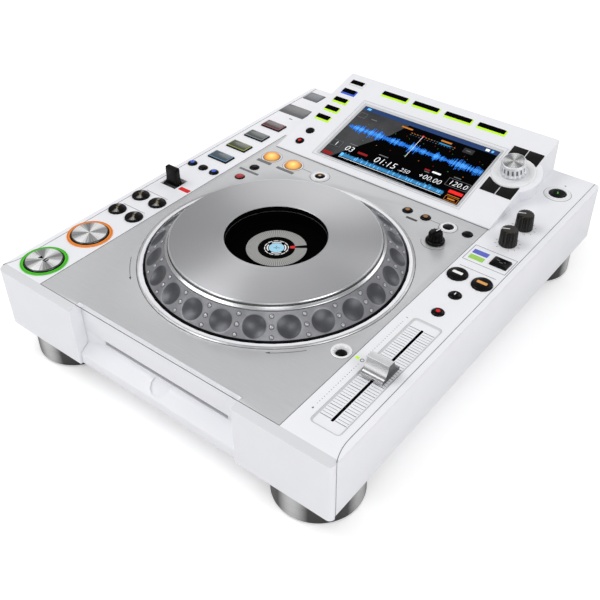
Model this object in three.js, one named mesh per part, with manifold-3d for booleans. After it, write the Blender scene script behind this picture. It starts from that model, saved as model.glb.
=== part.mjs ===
// Tabletop disc and media player for DJ use, with a jog wheel, a slot for discs and a tilted screen.
// Millimetres, +Z up, +Y to the rear. The origin is on the table under the middle of the whole player.
import * as THREE from "three";
import { mergeVertices } from "three/addons/utils/BufferGeometryUtils.js";
import Module from "manifold-3d";

const wasm = await Module();
wasm.setup();

// Body: strips beside the deck plate and margins round the jog wheel set its width and depth
const LEFT_STRIP_W = 42.6;
const RIGHT_STRIP_W = 46.2;
const JOG_LEFT_MARGIN = 8.6;
const JOG_RIGHT_MARGIN = 6.2;
const JOG_FRONT_MARGIN = 27.9;
const JOG_REAR_MARGIN = 24.7;
const BODY_HEIGHT = 54;
const FOOT_HEIGHT = 25;
const JACK_REACH = 6;
const WALL = 3;
const GAP = 0.3;
const OVERRUN = 5;
const FRONT_CORNER_R = 4;
const REAR_CORNER_R = 5;
const TOP_BEVEL_RUN = 6.8;
const TOP_BEVEL_DROP = 1.9;
const SEAM_DROP = 1.5;
const SIDE_BEVEL = 2.5;
const REAR_BEVEL_RUN = 24;
const REAR_BEVEL_RISE = 2.5;

// Brushed deck plate
const PLATE_FRONT = 7;
const PLATE_TUCK = 5.7;
const PLATE_T = 1.5;
const TONGUE_W = 7;
const TONGUE_REACH = 22;

// Front recess with the disc slot
const CHEEK_W = 15.3;
const RECESS_DEPTH = 10.4;
const RECESS_R = 4;
const RIM_SET = 0.7;
const LIP_SET = 2;
const SLOPE_RISE = 6.5;
const SLOPE_SET = 10.5;
const SLOPE_UNDER_POCKET = 1.5;
const POCKET_SET = 14.5;
const POCKET_LEFT_SET = 0.5;
const POCKET_RIGHT_SET = 2.5;
const POCKET_UNDER_SLOT = 0.7;
const POCKET_OVER_SLOT = 1.1;
const PANEL_OVER_POCKET = 3.5;
const SLOT_HALF = 61.5;
const SLOT_LOW_SHARE = 0.4163;
const SLOT_HIGH_SHARE = 0.6286;
const NOTCH_R = 9;
const NOTCH_DEPTH = 1.8;

// Jog wheel
const JOG_R = 102.8;
const JOG_GAP = 1;
const COLLAR_W = 4.4;
const COLLAR_LIFT = 0.6;
const JOG_SKIRT_LOW = 4;
const SLOPE_RUN = 16.8;
const SLOPE_TOP = 14.6;
const JOG_PLATE_SET = 0.6;
const JOG_BEVEL_RUN = 3;
const JOG_TOP = 19.2;
const WELL_R = 40;
const WELL_FLOOR = 3.2;
const JOG_WEB = 3;
const DIMPLES = 24;
const DIMPLE_R = 8.7;
const DIMPLE_DEPTH = 2;
const DIMPLE_INSET = 8.8;
const BOSS_R = 12;
const BOSS_WALL = 3;
const SLEEVE_R = 17;
const SLEEVE_LOW = 11;
const BEVEL_SHARE = 0.2;
const PLATE_EDGE = 0.5;
const BEARING_LOW = 17;
const BEARING_T = 3;
const BEARING_RIM_W = 5;
const HUB_R = 24.2;
const HUB_TOP = 7.2;
const HUB_T = 3.4;
const HUB_STALK = 14;

// Disc drive under the jog wheel
const DRIVE_SIDE = 10;
const DRIVE_FRONT = 21;
const DRIVE_DEPTH = 152;
const DRIVE_LOW = 8;
const DRIVE_DROP = 21.5;
const DRIVE_WALL = 2.5;
const BAY_EASE = 1.5;
const BAY_DEPTH = 140;
const SPINDLE_R = 14;
const SPINDLE_T = 3;
const SPINDLE_CONE_R = 7.3;
const SPINDLE_CONE_H = 2.6;

// Display housing
const HOUSING_DEPTH = 121;
const HOUSING_LEFT_SET = 7.4;
const HOUSING_OVERHANG = 1.2;
const HOUSING_LIP = 1;
const HOUSING_RISE = 29.2;
const HOUSING_WALL = 2.2;
const OPENING_LEDGE = 6.6;
const OPENING_MARGIN = 7;
const SCREEN_FROM_LEFT = 39;
const SCREEN_FROM_RIGHT = 36.3;
const SCREEN_LOW_SHARE = 0.08436;
const SCREEN_H_SHARE = 0.64271;
const FRAME_LEFT = 6.4;
const FRAME_RIGHT = 3.5;
const FRAME_LOW = 4.3;
const FRAME_TOP = 7.6;
const FRAME_DEPTH = 1.5;
const SCREEN_PANEL_T = 3.5;
const SCREEN_PANEL_MARGIN = 3;
const SELECTOR_FROM_RIGHT = 15.2;
const SELECTOR_U_SHARE = 0.55192;
const DISH_R = 19.2;
const DISH_LIFT = 1.2;
const BULGE_TOP_R = 25;
const BULGE_LOW_R = 19;
const BULGE_H = 26;
const SELECTOR_R = 12;
const SELECTOR_TOP_R = 10.6;
const SELECTOR_H = 13.5;
const SELECTOR_SKIRT_H = 3;
const SELECTOR_FLUTES = 20;
const SELECTOR_FLUTE_R = 0.9;
const SHAFT_R = 3;
const SHAFT_DROP = 8;
const SELECTOR_TRAVEL = 0.8;

// Keys on the display housing
const KEY_LIFT = 0.9;
const STRIP_T = 1.2;
const SOURCE_FROM_LEFT = 15.4;
const SOURCE_U_SHARE = 0.4266;
const SOURCE_PITCH_SHARE = 0.11689;
const SOURCE_COUNT = 5;
const SOURCE_W = 15.6;
const SOURCE_D = 7.6;
const BROWSE_X_SHARE = 0.1436;
const BROWSE_U_SHARE = 0.88533;
const BROWSE_PITCH_SHARE = 0.2341;
const BROWSE_COUNT = 4;
const BROWSE_W_SHARE = 0.191;
const BROWSE_D = 7.6;
const SPOT_R = 4.2;
const SPOT_FROM_LEFT = 15.4;
const SPOT_LOW_U_SHARE = 0.12533;
const SPOT_HIGH_U_SHARE = 0.25708;
const MENU_D = 16.4;
const MENU_W = 29;
const MENU_SHIFT = 1;
const MENU_LIP = 1.5;
const MENU_SPLIT = 0.8;
const MENU_REAR_U_SHARE = 0.73269;
const MENU_FRONT_U_SHARE = 0.36956;
const MENU_CLEAR_R = 20.2;

// Round buttons
const CAP_EDGE = 0.8;
const FLANGE = 1.1;
const STEM_DEPTH = 9;
const STEM_SHARE = 0.8;
const BUTTON_TRAVEL = 1;
const SIDE_AXIS_INSET = 22.1;
const PLAY_R = 15;
const PLAY_LIFT = 1;
const PLAY_Y_SHARE = 0.06751;
const CUE_Y_SHARE = 0.18237;
const HALO_R = 18;
const HALO_LIFT = 0.5;
const SEARCH_R = 7.6;
const SEARCH_LIFT = 1.8;
const SEARCH_SPACING = 19.9;
const SEARCH_FRONT_Y_SHARE = 0.2796;
const SEARCH_REAR_Y_SHARE = 0.3471;
const MODE_R = 4.4;
const MODE_LIFT = 1.4;
const MODE_Y_SHARE = 0.51537;
const MODE_PITCH = 13.1;
const MODE_INSET = 22.3;
const LOOP_R = 7.5;
const LOOP_LIFT = 2.2;
const SMALL_R = 4.6;
const SMALL_LIFT = 1;
const RELOOP_COLLAR_R = 9;
const CALL_PITCH = 17.8;
const DELETE_COLLAR_R = 7.8;
const COLLAR_RISE = 0.8;
const RESET_R = 4.1;
const RESET_CONE_R = 6.8;
const RESET_SINK = 2.2;
const RIGHT_AXIS_INSET = 24.3;
const EJECT_Y_SHARE = 0.90932;
const EJECT_R = 7.8;
const EJECT_COLLAR_R = 12;
const SYNC_Y_SHARE = 0.52469;
const SYNC_R = 8.3;
const SYNC_SPACING = 21;
const SYNC_INSET = 25.2;
const SYNC_LIFT = 1.6;
const RANGE_Y_SHARE = 0.46599;
const RANGE_R = 5.1;
const HOLD_Y_SHARE = 0.40453;
const HOLD_R = 4.9;

// Places on the deck plate, from the middle of the jog wheel, as shares of its collar's radius
const LOOP_IN_SHARES = [-0.9288, 1.0601];
const LOOP_OUT_SHARES = [-0.6969, 1.0601];
const ERASE_SHARES = [-0.9335, 0.6525];
const STORE_SHARES = [-0.9335, 0.8373];
const RELOOP_SHARES = [-0.4104, 1.0555];
const CALL_SHARES = [0.5166, 1.0749];
const DELETE_SHARES = [0.8059, 1.0656];
const MEMORY_SHARES = [0.9667, 1.0749];
const RESET_SHARES = [0.9723, -0.537];
const WEIGHT_SHARES = [0.8207, 0.8475];

// Square keys on the deck
const PAD_Y_SHARE = 0.57657;
const PAD_PITCH_SHARE = 0.06373;
const PAD_COUNT = 4;
const PAD_W = 22.6;
const PAD_D = 12.8;
const PAD_LIFT = 1.6;
const PAD_R = 1;
const VINYL_Y_SHARE = 0.60529;
const VINYL_INSET = 16;
const VINYL_W = 14.4;
const VINYL_D = 11.4;

// Flap over the card slot and flap over the memory port
const CARD_FLAP_W = 30.4;
const CARD_FLAP_D = 18.4;
const CARD_FLAP_Y_SHARE = 0.86272;
const CARD_FLAP_INSET = 19.8;
const CARD_SLOT_W = 25.6;
const CARD_SLOT_D = 5;
const PORT_FLAP_W = 18.4;
const PORT_FLAP_D = 16;
const PORT_FLAP_Y_SHARE = 0.9534;
const PORT_FLAP_INSET = 15.4;
const PORT_SLOT_W = 12.8;
const PORT_SLOT_D = 5.6;
const FLAP_T = 1.6;
const FLAP_PROUD = 0.6;
const FLAP_GRIP_D = 1.5;
const FLAP_GRIP_SHARE = 0.3;
const SOCKET_DEPTH = 12;
const SOCKET_WALL = 1.4;

// Direction lever
const LEVER_INSET = 18.7;
const LEVER_Y_SHARE = 0.43123;
const LEVER_W = 17;
const LEVER_DRUM_R = 9.3;
const LEVER_PIVOT_DROP = 9.3;
const LEVER_LIFT = 15.5;
const LEVER_TOP_W = 13;
const LEVER_LOW_W = 15.6;
const LEVER_TOP_T = 4.6;
const LEVER_LOW_T = 8;
const LEVER_SLOT_HALF = 7.6;
const LEVER_PIN_R = 2;
const LEVER_PIN_REACH = 3;
const LUG_T = 2.4;
const LEVER_ROOT_SHARE = 0.5;

// Turning knobs
const TOP_KNOB_R = 7.6;
const TOP_KNOB_TOP_R = 6.9;
const TOP_KNOB_H = 14.6;
const TOP_KNOB_INSET = 24.2;
const TOP_KNOB_REAR_Y_SHARE = 0.74509;
const TOP_KNOB_FRONT_Y_SHARE = 0.67456;
const KNOB_FLUTES = 14;
const KNOB_FLUTE_R = 0.7;
const KNOB_SHAFT_DROP = 12;
const WEIGHT_SKIRT_R = 8;
const WEIGHT_SKIRT_H = 4;
const WEIGHT_R = 6.2;
const WEIGHT_H = 10;
const WEIGHT_RIDGE_W = 3;
const WEIGHT_RIDGE_H = 1.6;

// Tempo slider
const SLIDER_INSET = 22.9;
const SLIDER_Y_SHARE = 0.21159;
const SLIDER_STROKE = 100;
const SLIDER_SLOT_W = 2.2;
const SLIDER_TRAY_LEFT = 11.6;
const SLIDER_TRAY_RIGHT = 11.9;
const SLIDER_TRAY_END = 12;
const SLIDER_TRAY_DEPTH = 1;
const SLIDER_TRAY_R = 3;
const CAP_W = 17.6;
const CAP_HALF = 10.4;
const CAP_H = 12.4;
const CAP_BAR_HALF = 3.2;
const CAP_LIP = 3.6;
const CAP_WAIST_SHARE = 0.4;
const CAP_WAIST_DROP_SHARE = 0.38;
const STEM_T = 1.4;
const STEM_L = 6;
const CARRIAGE_W = 9;
const CARRIAGE_H = 5;
const CARRIAGE_DROP = 4;

// Feet
const FOOT_R = 33.5;
const FOOT_INSET_X = 36.5;
const FOOT_INSET_Y = 35;
const FOOT_PAD_R = 30.5;
const FOOT_PAD_T = 1.2;
const FOOT_EDGE = 1;
const FOOT_BOLT_R = 5;
const FOOT_BOLT_H = 6;

// Boards, sockets and rear panel
const BOARD_T = 1.6;
const BOARD_LIFT = 12;
const BOARD_TUCK = 21;
const BOARD_REAR_SET = 6.6;
const MAIN_SIDE = 14;
const BOARD_SPACING = 14;
const SUPPLY_INNER = 24;
const SUPPLY_SIDE = 10;
const CHIP_W = 30;
const CHIP_H = 6;
const CHIP_SHARES = [
  [0.18, 0.33],
  [0.44, 0.48],
  [0.8, 0.33],
];
const PIN_POST_R = 3;
const POST_INSET = 7;
const PANEL_T = 1.8;
const PANEL_SIDE = 18;
const PANEL_LOW_Z = 9;
const PANEL_TOP_DROP = 9;
const PANEL_LAP = 3;
const JACK_R = 4.2;
const JACK_BORE_R = 1.8;
const JACK_COLLAR_R = 5;
const JACK_INSET = 42;
const JACK_PITCH = 16;
const JACK_COUNT = 3;
const JACK_Z = 24;
const NET_FROM_JACKS = 60;
const NET_W = 16;
const NET_H = 13.6;
const NET_HOLE_W = 12;
const NET_HOLE_H = 8.4;
const HOST_FROM_JACKS = 88;
const HOST_W = 12;
const HOST_H = 11;
const HOST_HOLE_W = 8.6;
const HOST_HOLE_H = 7.4;
const PORT_L = 14;
const PORT_HOLE_DEPTH = 9;
const INLET_INSET = 74;
const INLET_W = 27;
const INLET_H = 20;
const INLET_HOLE_W = 24;
const INLET_HOLE_H = 16.4;
const INLET_DEPTH = 14;
const INLET_L = 20;
const INLET_PIN_W = 2;
const INLET_PIN_H = 4;
const INLET_PIN_X = 7;
const INLET_PIN_DROP = 2;
const INLET_EARTH_RISE = 4.6;
const SWITCH_INSET = 36;
const SWITCH_W = 13;
const SWITCH_H = 19;
const SWITCH_T = 6;
const CORE_W = 42;
const CORE_D = 36;
const CORE_H = 24;
const CORE_Y_SHARE = 0.78086;
const SWITCH_FRAME = 1.6;
const SWITCH_FACE = 5;
const SWITCH_DISH = 1.2;
const SWITCH_FACE_SHARE = 0.9;
const SWITCH_FOOT_SHARE = 0.5;
const SWITCH_LEAN = THREE.MathUtils.degToRad(9);
const POST_FRONT_Y_SHARE = 0.12469;
const POST_SEARCH_Y_SHARE = 0.3136;
const POST_FLAP_Y_SHARE = 0.81108;
const POST_TEMPO_Y_SHARE = 0.0403;
const POST_SYNC_Y_SHARE = 0.56927;
const POST_REAR_Y_SHARE = 0.83123;

// Fine divisions of the round forms
const RIM_SIDES = 56;
const WIDE_SIDES = 24;
const MID_SIDES = 14;
const SMALL_SIDES = 10;
const DIMPLE_SIDES = 8;
const DIMPLE_RINGS = 2;
const CORNER_STEPS = 3;
const FLUTE_SIDES = 4;

// Sizes and places that follow from the sizes above
const DECK = FOOT_HEIGHT + BODY_HEIGHT;
const SLOPE_TOP_R = JOG_R - SLOPE_RUN;
const JOG_PLATE_R = SLOPE_TOP_R - JOG_PLATE_SET;
const JOG_TOP_R = JOG_PLATE_R - JOG_BEVEL_RUN;
const DIMPLE_RING_R = JOG_R - DIMPLE_INSET;
const COLLAR_R = JOG_R + JOG_GAP;
const COLLAR_OUT_R = COLLAR_R + COLLAR_W;
const JOG_Y = PLATE_FRONT + JOG_FRONT_MARGIN + COLLAR_OUT_R;
const HOUSING_FRONT = JOG_Y + COLLAR_OUT_R + JOG_REAR_MARGIN;
const PLATE_REAR = HOUSING_FRONT + PLATE_TUCK;
const TONGUE_REAR = HOUSING_FRONT + TONGUE_REACH;
const OPENING_FRONT = HOUSING_FRONT + OPENING_LEDGE;
const BODY_DEPTH = HOUSING_FRONT + HOUSING_DEPTH;
const PLATE_W = JOG_LEFT_MARGIN + 2 * COLLAR_OUT_R + JOG_RIGHT_MARGIN;
const BODY_WIDTH = LEFT_STRIP_W + PLATE_W + RIGHT_STRIP_W;
const HALF_W = BODY_WIDTH / 2;
const FRONT = -(BODY_DEPTH + JACK_REACH) / 2;
const REAR = FRONT + BODY_DEPTH;
const PLATE_LEFT = HALF_W - LEFT_STRIP_W;
const PLATE_RIGHT = HALF_W - RIGHT_STRIP_W;
const JOG_X = -PLATE_LEFT + JOG_LEFT_MARGIN + COLLAR_OUT_R;
const LEFT_AXIS = -HALF_W + SIDE_AXIS_INSET;
const RIGHT_AXIS = HALF_W - RIGHT_AXIS_INSET;
const SLIDER_TRAY_HALF = SLIDER_STROKE / 2 + SLIDER_TRAY_END;

// Disc drive and front recess
const DRIVE_TOP = BODY_HEIGHT - DRIVE_DROP;
const SLOT_LOW = DRIVE_LOW + SLOT_LOW_SHARE * (DRIVE_TOP - DRIVE_LOW);
const SLOT_HIGH = DRIVE_LOW + SLOT_HIGH_SHARE * (DRIVE_TOP - DRIVE_LOW);
const BAY_W = 2 * (SLOT_HALF + BAY_EASE);
const DRIVE_W = BAY_W + 2 * DRIVE_SIDE;
const POCKET_LEFT = SLOT_HALF + POCKET_LEFT_SET;
const POCKET_RIGHT = SLOT_HALF + POCKET_RIGHT_SET;
const POCKET_LOW = SLOT_LOW - POCKET_UNDER_SLOT;
const POCKET_HIGH = SLOT_HIGH + POCKET_OVER_SLOT;
const RECESS_LEFT = POCKET_LEFT + CHEEK_W;
const RECESS_RIGHT = POCKET_RIGHT + CHEEK_W;
const PANEL_LOW = POCKET_HIGH + PANEL_OVER_POCKET;
const SLOPE_HEIGHT = POCKET_LOW - SLOPE_UNDER_POCKET;
const LIP_HEIGHT = SLOPE_HEIGHT - SLOPE_RISE;

// Boards and what they carry to the rear
const BOARD_FRONT = HOUSING_FRONT - BOARD_TUCK;
const BOARD_REAR = BODY_DEPTH - BOARD_REAR_SET;
const JACK_X = -HALF_W + JACK_INSET;
const NET_X = JACK_X + NET_FROM_JACKS;
const HOST_X = JACK_X + HOST_FROM_JACKS;
const INLET_X = HALF_W - INLET_INSET;
const SWITCH_X = HALF_W - SWITCH_INSET;
const MAIN_LEFT = HALF_W - MAIN_SIDE;
const SUPPLY_LEFT = INLET_X - SUPPLY_INNER;
const SUPPLY_RIGHT = HALF_W - SUPPLY_SIDE;
const MAIN_RIGHT = SUPPLY_LEFT - BOARD_SPACING;
const PANEL_HIGH_Z = BODY_HEIGHT - PANEL_TOP_DROP;

// Tilted face of the display housing, and the places up it
const HOUSING_LEFT = PLATE_LEFT - HOUSING_LEFT_SET;
const HOUSING_RIGHT = PLATE_RIGHT + HOUSING_OVERHANG;
const TILT = Math.atan2(HOUSING_RISE, HOUSING_DEPTH);
const FACE_LENGTH = Math.hypot(HOUSING_RISE, HOUSING_DEPTH);
const SCREEN_W = HOUSING_LEFT + HOUSING_RIGHT - SCREEN_FROM_LEFT - SCREEN_FROM_RIGHT;
const SELECTOR_U = SELECTOR_U_SHARE * FACE_LENGTH;
const SOURCE_U = SOURCE_U_SHARE * FACE_LENGTH;
const SOURCE_PITCH = SOURCE_PITCH_SHARE * FACE_LENGTH;
const BROWSE_U = BROWSE_U_SHARE * FACE_LENGTH;
const SPOT_LOW_U = SPOT_LOW_U_SHARE * FACE_LENGTH;
const SPOT_HIGH_U = SPOT_HIGH_U_SHARE * FACE_LENGTH;
const MENU_REAR_U = MENU_REAR_U_SHARE * FACE_LENGTH;
const MENU_FRONT_U = MENU_FRONT_U_SHARE * FACE_LENGTH;
const SCREEN_LOW = SCREEN_LOW_SHARE * FACE_LENGTH;
const SCREEN_H = SCREEN_H_SHARE * FACE_LENGTH;
const BROWSE_X = -HOUSING_LEFT + SCREEN_FROM_LEFT + BROWSE_X_SHARE * SCREEN_W;
const BROWSE_PITCH = BROWSE_PITCH_SHARE * SCREEN_W;
const BROWSE_W = BROWSE_W_SHARE * SCREEN_W;
const SELECTOR_X = HOUSING_RIGHT - SELECTOR_FROM_RIGHT;
const FACE_FRAME = new THREE.Matrix4()
  .makeRotationX(TILT)
  .setPosition(0, FRONT + HOUSING_FRONT, DECK + HOUSING_LIP);

// A length along the body, from a share of its depth
const alongBody = (share) => share * BODY_DEPTH;

// A place on the deck plate, from shares of the collar's radius
const onPlate = ([x, y]) => ({ x: JOG_X + x * COLLAR_OUT_R, y: JOG_Y + y * COLLAR_OUT_R });

// A place measured from the front face
const fromFront = (y) => FRONT + y;

// Basic forms

function box(x0, x1, y0, y1, z0, z1) {
  return new THREE.BoxGeometry(x1 - x0, y1 - y0, z1 - z0).translate(
    (x0 + x1) / 2,
    (y0 + y1) / 2,
    (z0 + z1) / 2,
  );
}

function centredBox(x, y, width, depth, z0, z1) {
  return box(x - width / 2, x + width / 2, y - depth / 2, y + depth / 2, z0, z1);
}

function cone(x, y, lowR, topR, z0, z1, sides = MID_SIDES) {
  return new THREE.CylinderGeometry(topR, lowR, z1 - z0, sides)
    .rotateX(Math.PI / 2)
    .translate(x, y, (z0 + z1) / 2);
}

function disc(x, y, r, z0, z1, sides = MID_SIDES) {
  return cone(x, y, r, r, z0, z1, sides);
}

// A rod along X and a rod along Y
function rodX(x0, x1, y, z, r, sides = MID_SIDES) {
  return new THREE.CylinderGeometry(r, r, x1 - x0, sides)
    .rotateZ(Math.PI / 2)
    .translate((x0 + x1) / 2, y, z);
}

function rodY(x, y0, y1, z, r, sides = SMALL_SIDES) {
  return new THREE.CylinderGeometry(r, r, y1 - y0, sides).translate(x, (y0 + y1) / 2, z);
}

// A box whose two X faces may be given in either order
function spanX(a, b, y0, y1, z0, z1) {
  return box(Math.min(a, b), Math.max(a, b), y0, y1, z0, z1);
}

const bothSides = (make) => [-1, 1].map(make);

// A round body from a closed profile of [radius, height] points
function turned(profile, sides = MID_SIDES) {
  const area = profile.reduce((sum, [r, z], i) => {
    const [r2, z2] = profile[(i + 1) % profile.length];
    return sum + r * z2 - r2 * z;
  }, 0);
  const ordered = area > 0 ? profile : [...profile].reverse();
  const points = [...ordered, ordered[0]].map(([r, z]) => new THREE.Vector2(r, z));
  return new THREE.LatheGeometry(points, sides).rotateX(Math.PI / 2);
}

function polygon(points) {
  return new THREE.Shape(points.map(([x, y]) => new THREE.Vector2(x, y)));
}

// A rectangle whose four corners may each be round: front left, front right, rear right, rear left
function roundedShape(x0, x1, y0, y1, radii) {
  const [a, b, c, d] = radii;
  const shape = new THREE.Shape();
  shape.moveTo(x0 + a, y0);
  shape.lineTo(x1 - b, y0);
  if (b > 0) shape.absarc(x1 - b, y0 + b, b, -Math.PI / 2, 0);
  shape.lineTo(x1, y1 - c);
  if (c > 0) shape.absarc(x1 - c, y1 - c, c, 0, Math.PI / 2);
  shape.lineTo(x0 + d, y1);
  if (d > 0) shape.absarc(x0 + d, y1 - d, d, Math.PI / 2, Math.PI);
  shape.lineTo(x0, y0 + a);
  if (a > 0) shape.absarc(x0 + a, y0 + a, a, Math.PI, 1.5 * Math.PI);
  return shape;
}

function slab(shape, z0, z1) {
  const options = { depth: z1 - z0, bevelEnabled: false, curveSegments: CORNER_STEPS };
  return new THREE.ExtrudeGeometry(shape, options).translate(0, 0, z0);
}

// A prism along X whose section is a list of [y, z] points
function across(section, x0, x1) {
  const turn = new THREE.Matrix4().makeBasis(
    new THREE.Vector3(0, 1, 0),
    new THREE.Vector3(0, 0, 1),
    new THREE.Vector3(1, 0, 0),
  );
  return slab(polygon(section), x0, x1).applyMatrix4(turn);
}

// A prism along Y whose section is a list of [x, z] points
function lengthwise(section, y0, y1) {
  const turn = new THREE.Matrix4().makeBasis(
    new THREE.Vector3(1, 0, 0),
    new THREE.Vector3(0, 0, 1),
    new THREE.Vector3(0, -1, 0),
  );
  return slab(polygon(section), -y1, -y0).applyMatrix4(turn);
}

// A geometry given on the tilted face: x, the distance up the face, and the height over it
function onFace(geometry) {
  return geometry.applyMatrix4(FACE_FRAME);
}

// Joining and cutting

function solid(geometry) {
  const plain = geometry.index ? geometry.toNonIndexed() : geometry.clone();
  plain.deleteAttribute("normal");
  plain.deleteAttribute("uv");
  const merged = mergeVertices(plain);
  return new wasm.Manifold(
    new wasm.Mesh({
      numProp: 3,
      vertProperties: merged.attributes.position.array,
      triVerts: new Uint32Array(merged.index.array),
    }),
  );
}

function solidOf(form) {
  return form instanceof THREE.BufferGeometry ? solid(form) : form;
}

function join(first, ...others) {
  return others.reduce((sum, form) => sum.add(solidOf(form)), solidOf(first));
}

function cut(first, ...tools) {
  return tools.reduce((rest, g) => rest.subtract(solidOf(g)), solidOf(first));
}

function common(first, second) {
  return solidOf(first).intersect(solidOf(second));
}

function geometryOf(form) {
  if (form instanceof THREE.BufferGeometry) return form;
  const { vertProperties, triVerts } = form.getMesh();
  const geometry = new THREE.BufferGeometry();
  geometry.setAttribute("position", new THREE.BufferAttribute(vertProperties, 3));
  geometry.setIndex(new THREE.BufferAttribute(triVerts, 1));
  return geometry;
}

function paint(color, roughness, metalness = 0) {
  return new THREE.MeshStandardMaterial({ color, roughness, metalness });
}

const WHITE = paint(0xeeeff2, 0.35);
const BLACK = paint(0x0e0e10, 0.4);
const SILVER = paint(0xb9babd, 0.35, 0.9);
const SMOKE = paint(0x77787c, 0.3);
const CHROME = paint(0xd8dade, 0.12, 1);
const STEEL = paint(0x9a9b9f, 0.4, 1);
const GREEN_BOARD = paint(0x1f5a34, 0.6);
const DARK_GREY = paint(0x3c3d40, 0.3);
const MID_GREY = paint(0x7d7f83, 0.5);
const AMBER = paint(0xf6a13c, 0.4);
const RED = paint(0xb02a2e, 0.5);
const GLASS = paint(0x05070b, 0.08);

function piece(name, form, material, x = 0, y = 0, z = 0) {
  const mesh = new THREE.Mesh(geometryOf(form), material.clone());
  mesh.name = name;
  mesh.position.set(x, y, z);
  return mesh;
}

// Lists of the deck's controls

const roundButtons = [
  {
    name: "play_button",
    x: LEFT_AXIS,
    y: alongBody(PLAY_Y_SHARE),
    r: PLAY_R,
    lift: PLAY_LIFT,
    look: CHROME,
    halo: HALO_R,
  },
  {
    name: "cue_button",
    x: LEFT_AXIS,
    y: alongBody(CUE_Y_SHARE),
    r: PLAY_R,
    lift: PLAY_LIFT,
    look: CHROME,
    halo: HALO_R,
  },
  { name: "loop_in_button", ...onPlate(LOOP_IN_SHARES), r: LOOP_R, lift: LOOP_LIFT, look: AMBER },
  { name: "loop_out_button", ...onPlate(LOOP_OUT_SHARES), r: LOOP_R, lift: LOOP_LIFT, look: AMBER },
  { name: "mark_erase_button", ...onPlate(ERASE_SHARES), r: SMALL_R, lift: SMALL_LIFT, look: RED },
  { name: "mark_store_button", ...onPlate(STORE_SHARES), r: SMALL_R, lift: SMALL_LIFT, look: BLACK },
  {
    name: "reloop_button",
    ...onPlate(RELOOP_SHARES),
    r: SMALL_R,
    lift: SMALL_LIFT,
    look: BLACK,
    collar: RELOOP_COLLAR_R,
  },
  {
    name: "delete_button",
    ...onPlate(DELETE_SHARES),
    r: SMALL_R,
    lift: SMALL_LIFT,
    look: BLACK,
    collar: DELETE_COLLAR_R,
  },
  { name: "memory_button", ...onPlate(MEMORY_SHARES), r: SMALL_R, lift: SMALL_LIFT, look: BLACK },
  {
    name: "eject_button",
    x: RIGHT_AXIS,
    y: alongBody(EJECT_Y_SHARE),
    r: EJECT_R,
    lift: SMALL_LIFT,
    look: BLACK,
    collar: EJECT_COLLAR_R,
  },
  {
    name: "tempo_range_button",
    x: RIGHT_AXIS,
    y: alongBody(RANGE_Y_SHARE),
    r: RANGE_R,
    lift: SMALL_LIFT,
    look: BLACK,
  },
  {
    name: "tempo_hold_button",
    x: RIGHT_AXIS,
    y: alongBody(HOLD_Y_SHARE),
    r: HOLD_R,
    lift: SMALL_LIFT,
    look: RED,
  },
  {
    name: "tempo_reset_button",
    ...onPlate(RESET_SHARES),
    r: RESET_R,
    lift: -RESET_SINK + CAP_EDGE,
    look: BLACK,
    collar: RESET_CONE_R,
    sunk: true,
  },
];

const searchRows = [
  ["front", alongBody(SEARCH_FRONT_Y_SHARE)],
  ["rear", alongBody(SEARCH_REAR_Y_SHARE)],
];
for (const [row, y] of searchRows) {
  for (const [side, sign] of [["left", -1], ["right", 1]]) {
    roundButtons.push({
      name: `search_${row}_${side}_button`,
      x: LEFT_AXIS + (sign * SEARCH_SPACING) / 2,
      y,
      r: SEARCH_R,
      lift: SEARCH_LIFT,
      look: BLACK,
    });
  }
}

for (const [name, sign] of [["sync_button", -1], ["master_button", 1]]) {
  roundButtons.push({
    name,
    x: HALF_W - SYNC_INSET + (sign * SYNC_SPACING) / 2,
    y: alongBody(SYNC_Y_SHARE),
    r: SYNC_R,
    lift: SYNC_LIFT,
    look: BLACK,
  });
}

// Buttons that are moulded side by side on one strip
const buttonStrips = [
  {
    name: "mode_buttons",
    x: -HALF_W + MODE_INSET,
    y: alongBody(MODE_Y_SHARE),
    r: MODE_R,
    lift: MODE_LIFT,
    pitch: MODE_PITCH,
    count: 3,
  },
  {
    name: "call_buttons",
    ...onPlate(CALL_SHARES),
    r: SMALL_R,
    lift: SMALL_LIFT,
    pitch: CALL_PITCH,
    count: 2,
  },
];

const squareKeys = [
  {
    name: "jog_mode_button",
    x: HALF_W - VINYL_INSET,
    y: alongBody(VINYL_Y_SHARE),
    width: VINYL_W,
    depth: VINYL_D,
    look: BLACK,
  },
];

const PAD_LOOKS = [paint(0x55656c, 0.5), paint(0x5d6a58, 0.5), MID_GREY, paint(0x6a4a4c, 0.5)];
for (let i = 0; i < PAD_COUNT; i++) {
  squareKeys.push({
    name: `hot_cue_pad_${i + 1}`,
    x: LEFT_AXIS,
    y: alongBody(PAD_Y_SHARE) + i * alongBody(PAD_PITCH_SHARE),
    width: PAD_W,
    depth: PAD_D,
    look: PAD_LOOKS[i % PAD_LOOKS.length],
  });
}

const stripXs = ({ x, pitch, count }) =>
  Array.from({ length: count }, (_, i) => x + (i - (count - 1) / 2) * pitch);

const flaps = [
  {
    name: "card_flap",
    x: -HALF_W + CARD_FLAP_INSET,
    y: alongBody(CARD_FLAP_Y_SHARE),
    width: CARD_FLAP_W,
    depth: CARD_FLAP_D,
    slotW: CARD_SLOT_W,
    slotD: CARD_SLOT_D,
  },
  {
    name: "port_flap",
    x: -HALF_W + PORT_FLAP_INSET,
    y: alongBody(PORT_FLAP_Y_SHARE),
    width: PORT_FLAP_W,
    depth: PORT_FLAP_D,
    slotW: PORT_SLOT_W,
    slotD: PORT_SLOT_D,
  },
];

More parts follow.
